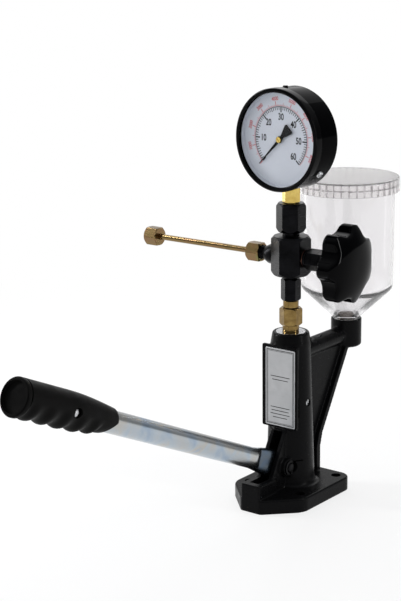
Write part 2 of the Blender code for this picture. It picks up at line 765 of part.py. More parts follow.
def mounting_holes():
    holes = []
    for x in (-1, 1):
        for y in (-HOLE_FRONT, BASE_REAR - BASE_CORNER):
            place = Matrix.Translation((x * (BASE_HALF_WIDTH - BASE_CORNER), y, 0))
            holes.append((rod(HOLE_RADIUS, -OVERRUN, BASE_THICKNESS + OVERRUN), place))
    return holes


def across(z, y, turn="Y"):
    """Frame whose Z runs along +X through a point of the middle plane."""
    return Matrix.Translation((0, y, z)) @ Matrix.Rotation(math.pi / 2, 4, turn)


def body_casting():
    """Base, nose, cheeks, column, panel, arm, web and cup socket in one casting."""
    made = add("body_casting", base_plate(), enamel())
    boss = rod(BOSS_RADIUS, -BOSS_HALF, BOSS_HALF, ROUND)
    pin = across(PIVOT_Z, -PIVOT_REACH)
    arm = along_y(rod(ARM_RADIUS, 0, CUP_Y, ROUND), 0)
    join(made, (column(), UPRIGHT), (cheeks(), UPRIGHT))
    cut(made, (panel_relief(), UPRIGHT))
    join(made, *[(mesh, UPRIGHT) for mesh in (nose(), panel_back(), panel(), web(), web_rim(), arm)],
         (boss, pin), (socket(), AT_CUP))
    passage = along_y(rod(PASSAGE, 0, CUP_Y, SMALL), 0)
    neck_room = rod(CUP_NECK_RADIUS + GAP, CUP_NECK_LOW - CUP_SEAL - 2 * GAP, SOCKET_TOP + OVERRUN, ROUND)
    spot_faces = [(rod(BOSS_RADIUS, BOSS_HALF, COLUMN_FOOT_RADIUS + OVERRUN, ROUND), place)
                  for place in (pin, pin @ Matrix.Rotation(math.pi, 4, "Y"))]
    pin_hole = rod(PIN_RADIUS + GAP, -BOSS_HALF - OVERRUN, BOSS_HALF + OVERRUN, ROUND)
    bleed = rod(BLEED_HOLE, TAPPET_RADIUS, COLUMN_FOOT_RADIUS + OVERRUN)
    cut(made, (column_bore(), UPRIGHT), *lever_slot(), *spot_faces, (pin_hole, pin),
        (bleed, across(BLEED_Z, 0)), (passage, UPRIGHT), (neck_room, AT_CUP),
        (side_slot(), UPRIGHT), *mounting_holes(), *pockets())


def nameplate():
    front = PANEL_FRONT + GAP
    middle = PANEL_LOW + PANEL_HEIGHT / 2
    add("nameplate", block((-PLATE_HALF, -front - PLATE_THICKNESS, middle - PLATE_HEIGHT / 2),
                           (PLATE_HALF, -front, middle + PLATE_HEIGHT / 2)),
        finish("printed_aluminium", (0.78, 0.78, 0.79), 0.35, 0.7))


def bleed_screw():
    """Recessed grub screw with a slot, in the column's right side."""
    outer = column_radius(BLEED_Z) - BLEED_SUNK
    made = add("bleed_screw", rod(BLEED_RADIUS, outer - BLEED_LENGTH, outer), bright_steel(),
               across(BLEED_Z, 0))
    half = BLEED_RADIUS / 6
    slot = block((-BLEED_RADIUS - GAP, -half, outer - BLEED_LENGTH / 4), (BLEED_RADIUS + GAP, half,
                                                                          outer + OVERRUN))
    cut(made, (slot, across(BLEED_Z, 0)))


def squashed_ring(along, half_width, half_height, squareness, points=LOFT):
    """Ring of the lever's tube: an ellipse whose sides flatten as squareness grows past 2."""
    ring = []
    for index in range(points):
        angle = 2 * math.pi * (index + 0.5) / points
        c, s = math.cos(angle), math.sin(angle)
        ring.append((half_width * math.copysign(abs(c) ** (2 / squareness), c), -along,
                     half_height * math.copysign(abs(s) ** (2 / squareness), s)))
    return ring


def ease(share):
    share = min(1.0, max(0.0, share))
    return share * share * (3 - 2 * share)


def lever_rings(offset, start, end, squareness):
    """Rings of the tube's outside, or of its bore when offset is the wall, from start to end."""
    neck = [FLAT_LENGTH + NECK_LENGTH * step / 5 for step in range(6)]
    places = [start, FLAT_LENGTH / 2] + neck + [end]
    rings = []
    for along in places:
        rounding = ease((along - FLAT_LENGTH) / NECK_LENGTH)
        height_share = ease((along - FLAT_LENGTH / 2) / (FLAT_LENGTH / 2 + NECK_LENGTH))
        half_width = FLAT_HALF_THICKNESS + (TUBE_RADIUS - FLAT_HALF_THICKNESS) * rounding
        half_height = FLAT_HALF_HEIGHT + (TUBE_RADIUS - FLAT_HALF_HEIGHT) * height_share
        rings.append(squashed_ring(along, half_width - offset, half_height - offset,
                                   squareness + (2 - squareness) * rounding))
    return rings


def end_trim():
    """What lies outside the rounded pivot end, seen from the side."""
    reach, height = END_REACH, FLAT_HALF_HEIGHT
    outline = [(-OVERRUN, height + OVERRUN), (-OVERRUN, height)]
    outline += [(reach * math.sin(angle), height * math.cos(angle))
                for angle in (math.radians(15 * step) for step in range(13))]
    outline += [(-OVERRUN, -height), (-OVERRUN, -height - OVERRUN), (2 * reach, -height - OVERRUN),
                (2 * reach, height + OVERRUN)]
    return side_plate(outline, FLAT_HALF_THICKNESS + OVERRUN)


def lever_across(along=0.0, up=0.0):
    return AT_LEVER @ Matrix.Translation((0, -along, up)) @ Matrix.Rotation(math.pi / 2, 4, "Y")


def rivet_places():
    return [lever_across(ROCKER_TAIL - RIVET_SPACING / 2, side * RIVET_SPACING / 2) for side in (-1, 1)]


def lever_tube():
    """Steel tube, flattened to an upright oval at the pivot and left open there for the rocker."""
    made = add("lever_tube", loft(lever_rings(0, -END_REACH, TUBE_LENGTH, 4)), zinc(), AT_LEVER)
    bore = loft(lever_rings(TUBE_WALL, -END_REACH - OVERRUN, TUBE_LENGTH + OVERRUN, 6))
    holes = [(rod(RIVET_RADIUS + GAP, -TUBE_RADIUS, TUBE_RADIUS), place) for place in rivet_places()]
    cut(made, (bore, AT_LEVER), (end_trim(), AT_LEVER),
        (rod(BUSH_RADIUS + GAP, -TUBE_RADIUS, TUBE_RADIUS, ROUND), lever_across()), *holes)


def rocker():
    """Hardened plate riveted in the flattened end; its round nose lifts the tappet."""
    half = ROCKER_HALF_HEIGHT
    outline = [(-ROCKER_TAIL, -half), (0, -half)]
    outline += corner((ROCKER_ARM, 0), ROCKER_NOSE, -75, 135, 10)
    outline += [(ROCKER_ARM * ROCKER_WAIST_SHARE, 0)] + corner((0, 0), half, 15, 90, 4)
    outline += [(-ROCKER_TAIL, half)]
    made = add("rocker", side_plate(outline, FLAT_HALF_THICKNESS - TUBE_WALL - GAP), bright_steel(), AT_LEVER)
    holes = [(rod(RIVET_RADIUS + GAP, -TUBE_RADIUS, TUBE_RADIUS), place) for place in rivet_places()]
    cut(made, (rod(BUSH_RADIUS + GAP, -TUBE_RADIUS, TUBE_RADIUS, ROUND), lever_across()), *holes)


def rocker_rivets():
    half = FLAT_HALF_THICKNESS
    for name, place in zip(("rocker_rivet_low", "rocker_rivet_high"), rivet_places()):
        add(name, rod(RIVET_RADIUS, -half, half, COARSE), bright_steel(), place)


def pivot():
    """Bush in the lever, pin in the casting's bosses, and a clip ring at each end of the pin."""
    bush_half = FLAT_HALF_THICKNESS + SLOT_SIDE / 2
    add("pivot_bush", sleeve(PIN_RADIUS + GAP, BUSH_RADIUS, -bush_half, bush_half, ROUND), brass(),
        lever_across())
    place = across(PIVOT_Z, -PIVOT_REACH)
    clip_low = BOSS_HALF + GAP
    clip_high = clip_low + CLIP_THICKNESS
    reach = clip_high + PIN_STAND_OUT
    add("pivot_pin", turned([(0, -reach), (PIN_RADIUS - PIN_STAND_OUT / 2, -reach),
                             (PIN_RADIUS, -reach + PIN_STAND_OUT), (PIN_RADIUS, reach - PIN_STAND_OUT),
                             (PIN_RADIUS - PIN_STAND_OUT / 2, reach), (0, reach)], ROUND),
        blacked(), place)
    inner, outer = PIN_RADIUS + GAP, PIN_RADIUS + GAP + CLIP_WIDTH
    add("pivot_clip_right", sleeve(inner, outer, clip_low, clip_high, ROUND), blacked(), place)
    add("pivot_clip_left", sleeve(inner, outer, -clip_high, -clip_low, ROUND), blacked(), place)


def grip_ring(along, points=LOFT):
    """Ring of the grip: an oval whose underside carries the finger bumps."""
    start, end = GRIP_START, GRIP_START + GRIP_LENGTH
    share = (along - start) / GRIP_LENGTH
    swell = GRIP_MOUTH_SHARE + (1 - GRIP_MOUTH_SHARE) * math.sin(min(1.0, share / 0.5) * math.pi / 2)
    half = GRIP_HALF * swell
    last_bump = end - GRIP_FLANGE - GRIP_BUMP_PITCH / 2
    phase = (last_bump - along) / GRIP_BUMP_PITCH
    on_bumps = -0.5 <= phase <= GRIP_BUMPS - 0.5
    dip = GRIP_BUMP_DEPTH * (math.sin(math.pi * phase) ** 2 if on_bumps else 1.0)
    ring = []
    for index in range(points):
        angle = 2 * math.pi * (index + 0.5) / points
        under = max(0.0, -math.sin(angle)) ** 0.7
        radius = half - dip * under * ease(share * 4) * ease((1 - share) * 12)
        ring.append((0.92 * radius * math.cos(angle), -along, radius * math.sin(angle)))
    return ring


def grip():
    """Moulded rubber grip with a dished end flange and a cross hole that shows the tube."""
    start, end = GRIP_START, GRIP_START + GRIP_LENGTH
    flange = end - GRIP_FLANGE
    steps = 4 * GRIP_BUMPS
    places = [start + (flange - start) * step / steps for step in range(steps + 1)]
    rings = [[(x * 0.9, y, z * 0.9) for x, y, z in grip_ring(start)]]
    rings[0] = [(x, y + GRIP_GROOVE, z) for x, y, z in rings[0]]
    rings += [grip_ring(along) for along in places]
    for along, trim in ((flange + GRIP_GROOVE / 2, 2 * GRIP_GROOVE), (flange + GRIP_GROOVE, 0),
                        (end - GRIP_GROOVE, 0), (end, GRIP_GROOVE)):
        rings.append(squashed_ring(along, 0.92 * GRIP_HALF - trim, GRIP_HALF - trim, 2))
    made = add("grip", loft(rings), rubber(), AT_LEVER)
    bore_end = TUBE_LENGTH + GAP
    bore = loft([squashed_ring(along, TUBE_RADIUS + GAP, TUBE_RADIUS + GAP, 2)
                 for along in (start - OVERRUN, bore_end)])
    dish = loft([squashed_ring(along, GRIP_DISH_RADIUS, GRIP_DISH_RADIUS, 2)
                 for along in (end - GRIP_DISH, end + OVERRUN)])
    hole = rod(GRIP_HOLE_RADIUS, -2 * GRIP_HALF, 2 * GRIP_HALF)
    cut(made, (bore, AT_LEVER), (dish, AT_LEVER), (hole, lever_across(GRIP_HOLE_FROM_PIVOT)))


def grip_button():
    """Domed steel button on the tube, in the right end of the grip's cross hole."""
    low = TUBE_RADIUS + GAP
    rise = BUTTON_HEIGHT / 2
    shoulder = low + rise
    dome = [(BUTTON_RADIUS * math.cos(angle), shoulder + rise * math.sin(angle))
            for angle in (math.radians(22.5 * step) for step in range(4))]
    add("grip_button", turned([(0, low), (BUTTON_RADIUS, low)] + dome + [(0, low + BUTTON_HEIGHT)], SMALL),
        bright_steel(), lever_across(GRIP_HOLE_FROM_PIVOT))


def tappet_and_plunger():
    recess = PLUNGER_HEAD + GAP
    inner = PLUNGER_HEAD_RADIUS + GAP
    add("tappet", turned([(0, TAPPET_LOW), (TAPPET_RADIUS, TAPPET_LOW), (TAPPET_RADIUS, TAPPET_TOP),
                          (inner, TAPPET_TOP), (inner, TAPPET_TOP - recess), (0, TAPPET_TOP - recess)]),
        bright_steel())
    foot = TAPPET_TOP - PLUNGER_HEAD
    top = BARREL_TOP - PLUNGER_LIFT - BARREL_HEADROOM
    add("plunger", turned([(0, foot), (PLUNGER_HEAD_RADIUS, foot), (PLUNGER_HEAD_RADIUS, TAPPET_TOP),
                           (PLUNGER_RADIUS, TAPPET_TOP), (PLUNGER_RADIUS, top), (0, top)], SMALL),
        bright_steel())


def pump_element():
    """Barrel, delivery valve with its seat and spring, sealing washer and clamp ring."""
    bore = PLUNGER_RADIUS + GAP
    barrel = add("pump_barrel", sleeve(bore, BARREL_RADIUS, BARREL_LOW, BARREL_TOP), bright_steel())
    port = along_y(rod(PASSAGE, 0, BARREL_RADIUS + OVERRUN, COARSE), 0)
    cut(barrel, (port, UPRIGHT))
    coil("return_spring", SPRING_RADIUS, SPRING_WIRE, TAPPET_TOP + GAP, BARREL_LOW - GAP, SPRING_TURNS,
         bright_steel())
    add("valve_seat", sleeve(SEAT_BORE, BARREL_RADIUS, SEAT_LOW, SEAT_TOP), bright_steel())
    add("seal_washer", sleeve(WASHER_BORE, BARREL_RADIUS, WASHER_LOW, WASHER_LOW + WASHER_THICKNESS),
        copper())
    add("clamp_ring", sleeve(RING_BORE, RING_RADIUS, RING_LOW, COLUMN_HEIGHT), bright_steel())
    head_low = SEAT_TOP + GAP
    head_top = head_low + POPPET_HEAD_HEIGHT
    add("delivery_valve", turned([(0, SEAT_LOW + GAP), (POPPET_STEM, SEAT_LOW + GAP),
                                  (POPPET_STEM, head_low), (POPPET_HEAD, head_low),
                                  (POPPET_HEAD, head_top), (0, head_top)], SMALL), bright_steel())
    coil("delivery_spring", POPPET_SPRING_RADIUS, POPPET_SPRING_WIRE, head_top + GAP,
         RING_LOW + CHAMBER_HEIGHT - GAP, POPPET_SPRING_TURNS, bright_steel())


def valve_holder():
    """Brass fitting that screws through the clamp ring onto the washer."""
    made = hex_blank("valve_holder", brass(), HOLDER_FLATS, HOLDER_HEX_LOW, HOLDER_HEX_TOP, HEX_CHAMFER)
    neck_low = COLUMN_HEIGHT + GAP
    spigot_top = HOLDER_HEX_TOP + HOLDER_SPIGOT
    middle = (HOLDER_HEX_LOW + HOLDER_HEX_TOP) / 2
    shaft = turned([(0, RING_LOW), (RING_BORE - GAP, RING_LOW), (RING_BORE - GAP, neck_low),
                    (HOLDER_NECK_RADIUS, neck_low), (HOLDER_NECK_RADIUS, middle),
                    (HOLDER_SPIGOT_RADIUS, middle), (HOLDER_SPIGOT_RADIUS, spigot_top), (0, spigot_top)])
    join(made, (shaft, UPRIGHT))
    chamber_top = RING_LOW + CHAMBER_HEIGHT
    bore = turned([(0, RING_LOW - OVERRUN), (CHAMBER_RADIUS, RING_LOW - OVERRUN),
                   (CHAMBER_RADIUS, chamber_top), (PASSAGE, chamber_top),
                   (PASSAGE, spigot_top + OVERRUN), (0, spigot_top + OVERRUN)])
    cut(made, (bore, UPRIGHT))
    add("brass_ring", sleeve(HOLDER_SPIGOT_RADIUS + GAP, BRASS_RING_RADIUS, HOLDER_HEX_TOP + GAP,
                             HOLDER_HEX_TOP + GAP + BRASS_RING_HEIGHT), brass())


def lower_union():
    """Black hexagon between the valve holder and the valve block."""
    hex_top = UNION_LOW + UNION_HEX
    spigot_top = UNION_TOP + UNION_SPIGOT
    made = hex_blank("lower_union", blacked(), UNION_FLATS, UNION_LOW, hex_top, HEX_CHAMFER)
    middle = (UNION_LOW + hex_top) / 2
    shaft = turned([(0, middle), (UNION_NECK_RADIUS, middle), (UNION_NECK_RADIUS, UNION_TOP),
                    (UNION_SPIGOT_RADIUS, UNION_TOP), (UNION_SPIGOT_RADIUS, spigot_top), (0, spigot_top)])
    join(made, (shaft, UPRIGHT))
    room = HOLDER_SPIGOT_RADIUS + GAP
    room_top = HOLDER_HEX_TOP + HOLDER_SPIGOT + GAP
    bore = turned([(0, UNION_LOW - OVERRUN), (room, UNION_LOW - OVERRUN), (room, room_top),
                   (PASSAGE, room_top), (PASSAGE, spigot_top + OVERRUN),
                   (0, spigot_top + OVERRUN)], ROUND)
    cut(made, (bore, UPRIGHT))


def valve_block():
    """Black hexagonal block with ports below, above, left and right."""
    made = hex_blank("valve_block", blacked(), BLOCK_FLATS, BLOCK_LOW, BLOCK_TOP, BLOCK_CHAMFER)
    below, above = UNION_SPIGOT_RADIUS + GAP, ADAPTER_SPIGOT_RADIUS + GAP
    below_top = UNION_TOP + UNION_SPIGOT + GAP
    above_low = BLOCK_TOP - ADAPTER_SPIGOT
    upright = turned([(0, BLOCK_LOW - OVERRUN), (below, BLOCK_LOW - OVERRUN), (below, below_top),
                      (PASSAGE, below_top), (PASSAGE, above_low), (above, above_low),
                      (above, BLOCK_TOP + OVERRUN), (0, BLOCK_TOP + OVERRUN)], ROUND)
    gland = GLAND_THREAD_RADIUS + GAP
    gland_low = GLAND_FACE - GLAND_THREAD - GAP
    needle = NEEDLE_RADIUS + GAP
    stub_low = STUB_FACE - STUB_SPIGOT - GAP
    start = -stub_low - OVERRUN
    right = turned([(0, start), (CROSS_PASSAGE, start), (CROSS_PASSAGE, PASSAGE),
                    (needle, PASSAGE + NEEDLE_CONE), (needle, gland_low), (gland, gland_low),
                    (gland, GLAND_FACE + OVERRUN), (0, GLAND_FACE + OVERRUN)], ROUND)
    left = rod(STUB_SPIGOT_RADIUS + GAP, stub_low, STUB_FACE + OVERRUN, ROUND)
    cut(made, (upright, UPRIGHT), (right, TO_RIGHT), (left, TO_LEFT))


def gauge_adapter():
    made = hex_blank("gauge_adapter", blacked(), ADAPTER_FLATS, ADAPTER_HEX_LOW, ADAPTER_TOP,
                     ADAPTER_CHAMFER)
    spigot_low = BLOCK_TOP + GAP - ADAPTER_SPIGOT
    middle = (ADAPTER_HEX_LOW + ADAPTER_TOP) / 2
    shaft = turned([(0, spigot_low), (ADAPTER_SPIGOT_RADIUS, spigot_low),
                    (ADAPTER_SPIGOT_RADIUS, BLOCK_TOP + GAP), (ADAPTER_NECK_RADIUS, BLOCK_TOP + GAP),
                    (ADAPTER_NECK_RADIUS, middle), (0, middle)])
    join(made, (shaft, UPRIGHT))
    room, room_low = GAUGE_THREAD_RADIUS + GAP, GAUGE_HEX_LOW - GAUGE_THREAD - GAP
    bore = turned([(0, spigot_low - OVERRUN), (PASSAGE, spigot_low - OVERRUN), (PASSAGE, room_low),
                   (room, room_low), (room, ADAPTER_TOP + OVERRUN), (0, ADAPTER_TOP + OVERRUN)])
    cut(made, (bore, UPRIGHT))


def gauge_socket():
    """Brass stem of the gauge: thread, hexagon, and the block inside the case."""
    hex_top = GAUGE_Z - CASE_RADIUS + CASE_WALL
    block_top = hex_top + GAUGE_BLOCK
    made = hex_blank("gauge_socket", brass(), GAUGE_HEX_FLATS, GAUGE_HEX_LOW, hex_top, HEX_CHAMFER / 2,
                     Matrix.Rotation(GAUGE_YAW, 4, "Z"))
    thread_low = GAUGE_HEX_LOW - GAUGE_THREAD
    shaft = turned([(0, thread_low), (GAUGE_THREAD_RADIUS, thread_low),
                    (GAUGE_THREAD_RADIUS, (GAUGE_HEX_LOW + hex_top) / 2),
                    (GAUGE_BLOCK_RADIUS, (GAUGE_HEX_LOW + hex_top) / 2), (GAUGE_BLOCK_RADIUS, block_top),
                    (0, block_top)], ROUND)
    join(made, (shaft, UPRIGHT))
    cut(made, (rod(PASSAGE, thread_low - OVERRUN, block_top - PASSAGE, COARSE), UPRIGHT))


def gauge_case():
    """Deep cup, open to the front, stepped at its lip for the bezel."""
    lip = BEZEL_RADIUS - BEZEL_WALL - GAP
    shoulder = BEZEL_FRONT - BEZEL_DEPTH - GAP
    inner = lip - CASE_WALL
    back = -CASE_BACK
    edge = CASE_WALL
    made = add("gauge_case", turned([(0, back), (CASE_RADIUS - edge, back), (CASE_RADIUS, back + edge),
                                     (CASE_RADIUS, shoulder), (lip, shoulder), (lip, CASE_FRONT),
                                     (inner, CASE_FRONT), (inner, back + CASE_WALL),
                                     (0, back + CASE_WALL)], FINE), enamel(), AT_GAUGE)
    stem = rod(GAUGE_HEX_HOLE, GAUGE_HEX_LOW, GAUGE_Z - CASE_RADIUS / 2, ROUND)
    vent = rod(VENT_RADIUS + GAP, CASE_RADIUS / 2, CASE_RADIUS + OVERRUN)
    cut(made, (stem, UPRIGHT), (vent, vent_place()))
    holes = [(rod(SCREW_RADIUS + GAP, CASE_RADIUS / 2, CASE_RADIUS + OVERRUN, COARSE), place)
             for place in screw_places()]
    cut(made, *holes)


def radial_place(angle, forward):
    """Frame whose Z points out of the gauge at an angle, some way ahead of its stem."""
    return (AT_GAUGE @ Matrix.Translation((0, 0, forward)) @ Matrix.Rotation(angle, 4, "Z")
            @ Matrix.Rotation(math.pi / 2, 4, "Y"))


def vent_place():
    return radial_place(math.pi / 2, VENT_FORWARD)


def screw_places():
    return [radial_place(angle, SCREW_FORWARD) for angle in SCREW_ANGLES]


def case_details():
    """Rubber vent plug on top of the case, and the screws round its side."""
    low = CASE_RADIUS - 2 * CASE_WALL
    high = CASE_RADIUS + GAP + VENT_CAP
    add("vent_plug", turned([(0, low), (VENT_RADIUS, low), (VENT_RADIUS, CASE_RADIUS + GAP),
                             (VENT_CAP_RADIUS, CASE_RADIUS + GAP), (VENT_CAP_RADIUS, high - VENT_CAP / 3),
                             (VENT_CAP_RADIUS - VENT_CAP / 3, high), (0, high)], SMALL), rubber(),
        vent_place())
    outline = [(0, CASE_RADIUS - SCREW_LENGTH), (SCREW_RADIUS, CASE_RADIUS - SCREW_LENGTH),
               (SCREW_RADIUS, CASE_RADIUS + GAP), (SCREW_HEAD_RADIUS, CASE_RADIUS + GAP),
               (SCREW_HEAD_RADIUS, CASE_RADIUS + GAP + SCREW_HEAD), (0, CASE_RADIUS + GAP + SCREW_HEAD)]
    for number, place in enumerate(screw_places(), 1):
        add(f"case_screw_{number}", turned(outline, COARSE), bright_steel(), place)


def bezel_and_lens():
    back = BEZEL_FRONT - BEZEL_DEPTH
    lip = BEZEL_FRONT - BEZEL_LIP
    inner = BEZEL_RADIUS - BEZEL_WALL
    edge = BEZEL_WALL / 2
    add("bezel", turned([(inner, back), (BEZEL_RADIUS, back), (BEZEL_RADIUS, BEZEL_FRONT - edge),
                         (BEZEL_RADIUS - edge, BEZEL_FRONT), (BEZEL_OPENING + edge, BEZEL_FRONT),
                         (BEZEL_OPENING, BEZEL_FRONT - edge), (BEZEL_OPENING, lip), (inner, lip)], FINE),
        enamel(), AT_GAUGE)
    lens_front = lip - GAP
    add("lens", rod(inner - GAP, lens_front - LENS_THICKNESS, lens_front, FINE), clear_plastic(), AT_GAUGE)


def dial_and_pointer():
    """Bare dial, and the pointer on its shaft, which turns with the pinion."""
    inner = BEZEL_RADIUS - BEZEL_WALL - GAP - CASE_WALL - GAP
    add("dial", sleeve(SHAFT_RADIUS + GAP, inner, DIAL_FACE - DIAL_THICKNESS, DIAL_FACE, FINE),
        white_paint(), AT_GAUGE)
    back = DIAL_FACE + POINTER_CLEAR
    turned_to_zero = AT_GAUGE @ Matrix.Rotation(-POINTER_ZERO, 4, "Z")
    blade = [(-POINTER_TAIL_HALF, -POINTER_TAIL), (POINTER_TAIL_HALF, -POINTER_TAIL),
             (POINTER_HALF, -POINTER_TAIL / 3), (POINTER_HALF, 0), (0, POINTER_LENGTH),
             (-POINTER_HALF, 0), (-POINTER_HALF, -POINTER_TAIL / 3)]
    made = add("pointer", prism(blade, back, back + POINTER_THICKNESS), blacked(), turned_to_zero)
    hub_top = back + 4 * POINTER_THICKNESS
    join(made, (rod(POINTER_HUB, back + POINTER_THICKNESS / 2, hub_top), turned_to_zero))
    cut(made, (rod(SHAFT_RADIUS + GAP, back - OVERRUN, hub_top - POINTER_THICKNESS), turned_to_zero))
    shaft_low = FRAME_BACK + GAP
    gear_low = (FRAME_FRONT + FRAME_BACK) / 2
    gear_high = gear_low + GEAR_THICKNESS
    shaft_top = hub_top - POINTER_THICKNESS - GAP
    add("pinion", turned([(0, shaft_low), (SHAFT_RADIUS, shaft_low), (SHAFT_RADIUS, gear_low),
                          (PINION_RADIUS, gear_low), (PINION_RADIUS, gear_high), (SHAFT_RADIUS, gear_high),
                          (SHAFT_RADIUS, shaft_top), (0, shaft_top)], COARSE), brass(), turned_to_zero)


def sector_place():
    """The sector turns about an arbor below the pinion, with the two pitch circles just clear."""
    return (AT_GAUGE @ Matrix.Translation((0, -(SECTOR_RADIUS + PINION_RADIUS + GAP), 0))
            @ Matrix.Rotation(-SECTOR_REST, 4, "Z"))


def movement_frame():
    """Two plates on pillars and a foot that stands on the gauge's socket."""
    low = -FRAME_DROP
    front, back = FRAME_FRONT, FRAME_BACK
    plate = [(-FRAME_HALF, low), (FRAME_HALF, low), (FRAME_HALF, FRAME_ABOVE), (-FRAME_HALF, FRAME_ABOVE)]
    foot_rear = -GAUGE_BLOCK_RADIUS / 2
    made = add("movement_frame", prism(plate, front - FRAME_PLATE, front), brass(), AT_GAUGE)
    foot = block((-FRAME_HALF, low, foot_rear), (FRAME_HALF, low + 2 * PILLAR_RADIUS, front - FRAME_PLATE / 2))
    pillar_y = FRAME_ABOVE - 2 * PILLAR_RADIUS
    pillars = [(rod(PILLAR_RADIUS, back - FRAME_PLATE / 2, front - FRAME_PLATE / 2, COARSE),
                AT_GAUGE @ Matrix.Translation((side * (FRAME_HALF - PILLAR_RADIUS), pillar_y, 0)))
               for side in (-1, 1)]
    join(made, (prism(plate, back - FRAME_PLATE, back), AT_GAUGE), (foot, AT_GAUGE), *pillars)
    hole = SHAFT_RADIUS + GAP
    cut(made, (rod(hole, front - 2 * FRAME_PLATE, front + OVERRUN, COARSE), AT_GAUGE))


def sector_gear():
    """Toothed sector, drawn at its pitch circle, with a tail for the link and its own arbor."""
    low = (FRAME_FRONT + FRAME_BACK) / 2
    place = sector_place()
    half = math.degrees(SECTOR_HALF_ANGLE)
    rim = corner((0, 0), SECTOR_RADIUS, 90 - half, 90 + half, 10)
    arm = PILLAR_RADIUS
    outline = rim + [(-arm, SECTOR_RADIUS - SECTOR_RIM), (-arm, arm), (-SECTOR_TAIL, arm),
                     (-SECTOR_TAIL, -arm), (arm, -arm), (arm, SECTOR_RADIUS - SECTOR_RIM)]
    made = add("sector_gear", prism(outline, low, low + GEAR_THICKNESS), brass(), place)
    arbor = rod(SHAFT_RADIUS, FRAME_BACK + GAP, FRAME_FRONT - FRAME_PLATE - GAP, COARSE)
    join(made, (arbor, place))


def bourdon_tube():
    """Flattened spring tube, bent round the movement from the socket to its free tip."""
    steps = 28
    rings = []
    for step in range(steps + 1):
        angle = BOURDON_START + BOURDON_SWEEP * step / steps
        out = Vector((math.cos(angle), math.sin(angle), 0))
        across_tube = BOURDON_THICK / 2
        rings.append([out * (BOURDON_RADIUS + across_tube * c) + Vector((0, 0, BOURDON_HALF * s))
                      for c, s in ((1, 0), (0.6, 0.8), (-0.6, 0.8), (-1, 0), (-0.6, -0.8), (0.6, -0.8))])
    add("bourdon_tube", loft(rings), brass(), AT_GAUGE)


def link():
    """Flat link between the tube's tip and the sector's tail."""
    tip_angle = BOURDON_START + BOURDON_SWEEP
    tip = Vector((math.cos(tip_angle), math.sin(tip_angle))) * BOURDON_RADIUS
    tail = (Vector((-SECTOR_TAIL * math.cos(SECTOR_REST), SECTOR_TAIL * math.sin(SECTOR_REST)))
            - Vector((0, SECTOR_RADIUS + PINION_RADIUS + GAP)))
    direction = (tail - tip).normalized()
    side = Vector((-direction.y, direction.x)) * PILLAR_RADIUS / 2
    start = tip + direction * (BOURDON_THICK / 2 + GAP)
    end = tail - direction * (side.length / 4 + GAP)
    outline = [start - side, end - side, end + side, start + side]
    low = (FRAME_FRONT + FRAME_BACK) / 2
    add("link", prism([tuple(point) for point in outline], low, low + GEAR_THICKNESS / 2), brass(),
        AT_GAUGE)


def outlet_stub():
    """Black cone-shaped connector on the block's left side, with a thread for the near nut."""
    cone_end = STUB_FACE + STUB_CONE
    made = add("outlet_stub", turned([
        (0, STUB_FACE - STUB_SPIGOT), (STUB_SPIGOT_RADIUS, STUB_FACE - STUB_SPIGOT),
        (STUB_SPIGOT_RADIUS, STUB_FACE), (STUB_ROOT_RADIUS, STUB_FACE),
        (STUB_ROOT_RADIUS, STUB_FACE + STUB_CONE / 2), (STUB_NECK_RADIUS, cone_end - GAP),
        (STUB_THREAD_RADIUS, cone_end), (STUB_THREAD_RADIUS, STUB_END), (0, STUB_END)], ROUND),
        blacked(), TO_LEFT)
    cut(made, (rod(PASSAGE, STUB_FACE - STUB_SPIGOT - OVERRUN, STUB_END + OVERRUN), TO_LEFT))


def pipe_nut(name, back_face, facing):
    """Union nut along X; facing is 1 when its open end points to the right."""
    place = Matrix.Translation((-back_face, 0, CROSS_Z)) @ Matrix.Rotation(facing * math.pi / 2, 4, "Y")
    made = hex_blank(name, yellow_zinc(), NUT_FLATS, 0, NUT_LENGTH, HEX_CHAMFER, place, NUT_TURN)
    hole = PIPE_RADIUS + GAP
    bore = turned([(0, -OVERRUN), (hole, -OVERRUN), (hole, NUT_BACK), (NUT_BORE, NUT_BACK),
                   (NUT_BORE, NUT_LENGTH + OVERRUN), (0, NUT_LENGTH + OVERRUN)], ROUND)
    cut(made, (bore, place))


def pipe_and_nuts():
    """Rigid steel pipe with a formed head at each end, and a captive nut behind each head."""
    near = STUB_END + GAP
    far = near + PIPE_LENGTH
    inner_near, inner_far = near + PIPE_HEAD, far - PIPE_HEAD
    made = add("injector_pipe", turned([
        (0, near), (PIPE_RADIUS, near), (PIPE_HEAD_RADIUS, near + PIPE_HEAD / 2),
        (PIPE_HEAD_RADIUS, inner_near), (PIPE_RADIUS, inner_near), (PIPE_RADIUS, inner_far),
        (PIPE_HEAD_RADIUS, inner_far), (PIPE_HEAD_RADIUS, far - PIPE_HEAD / 2), (PIPE_RADIUS, far),
        (0, far)], SMALL), yellow_zinc(), TO_LEFT)
    cut(made, (rod(PASSAGE, near - OVERRUN, far + OVERRUN, COARSE), TO_LEFT))
    pipe_nut("near_nut", inner_near + GAP + NUT_BACK, 1)
    pipe_nut("far_nut", inner_far - GAP - NUT_BACK, -1)


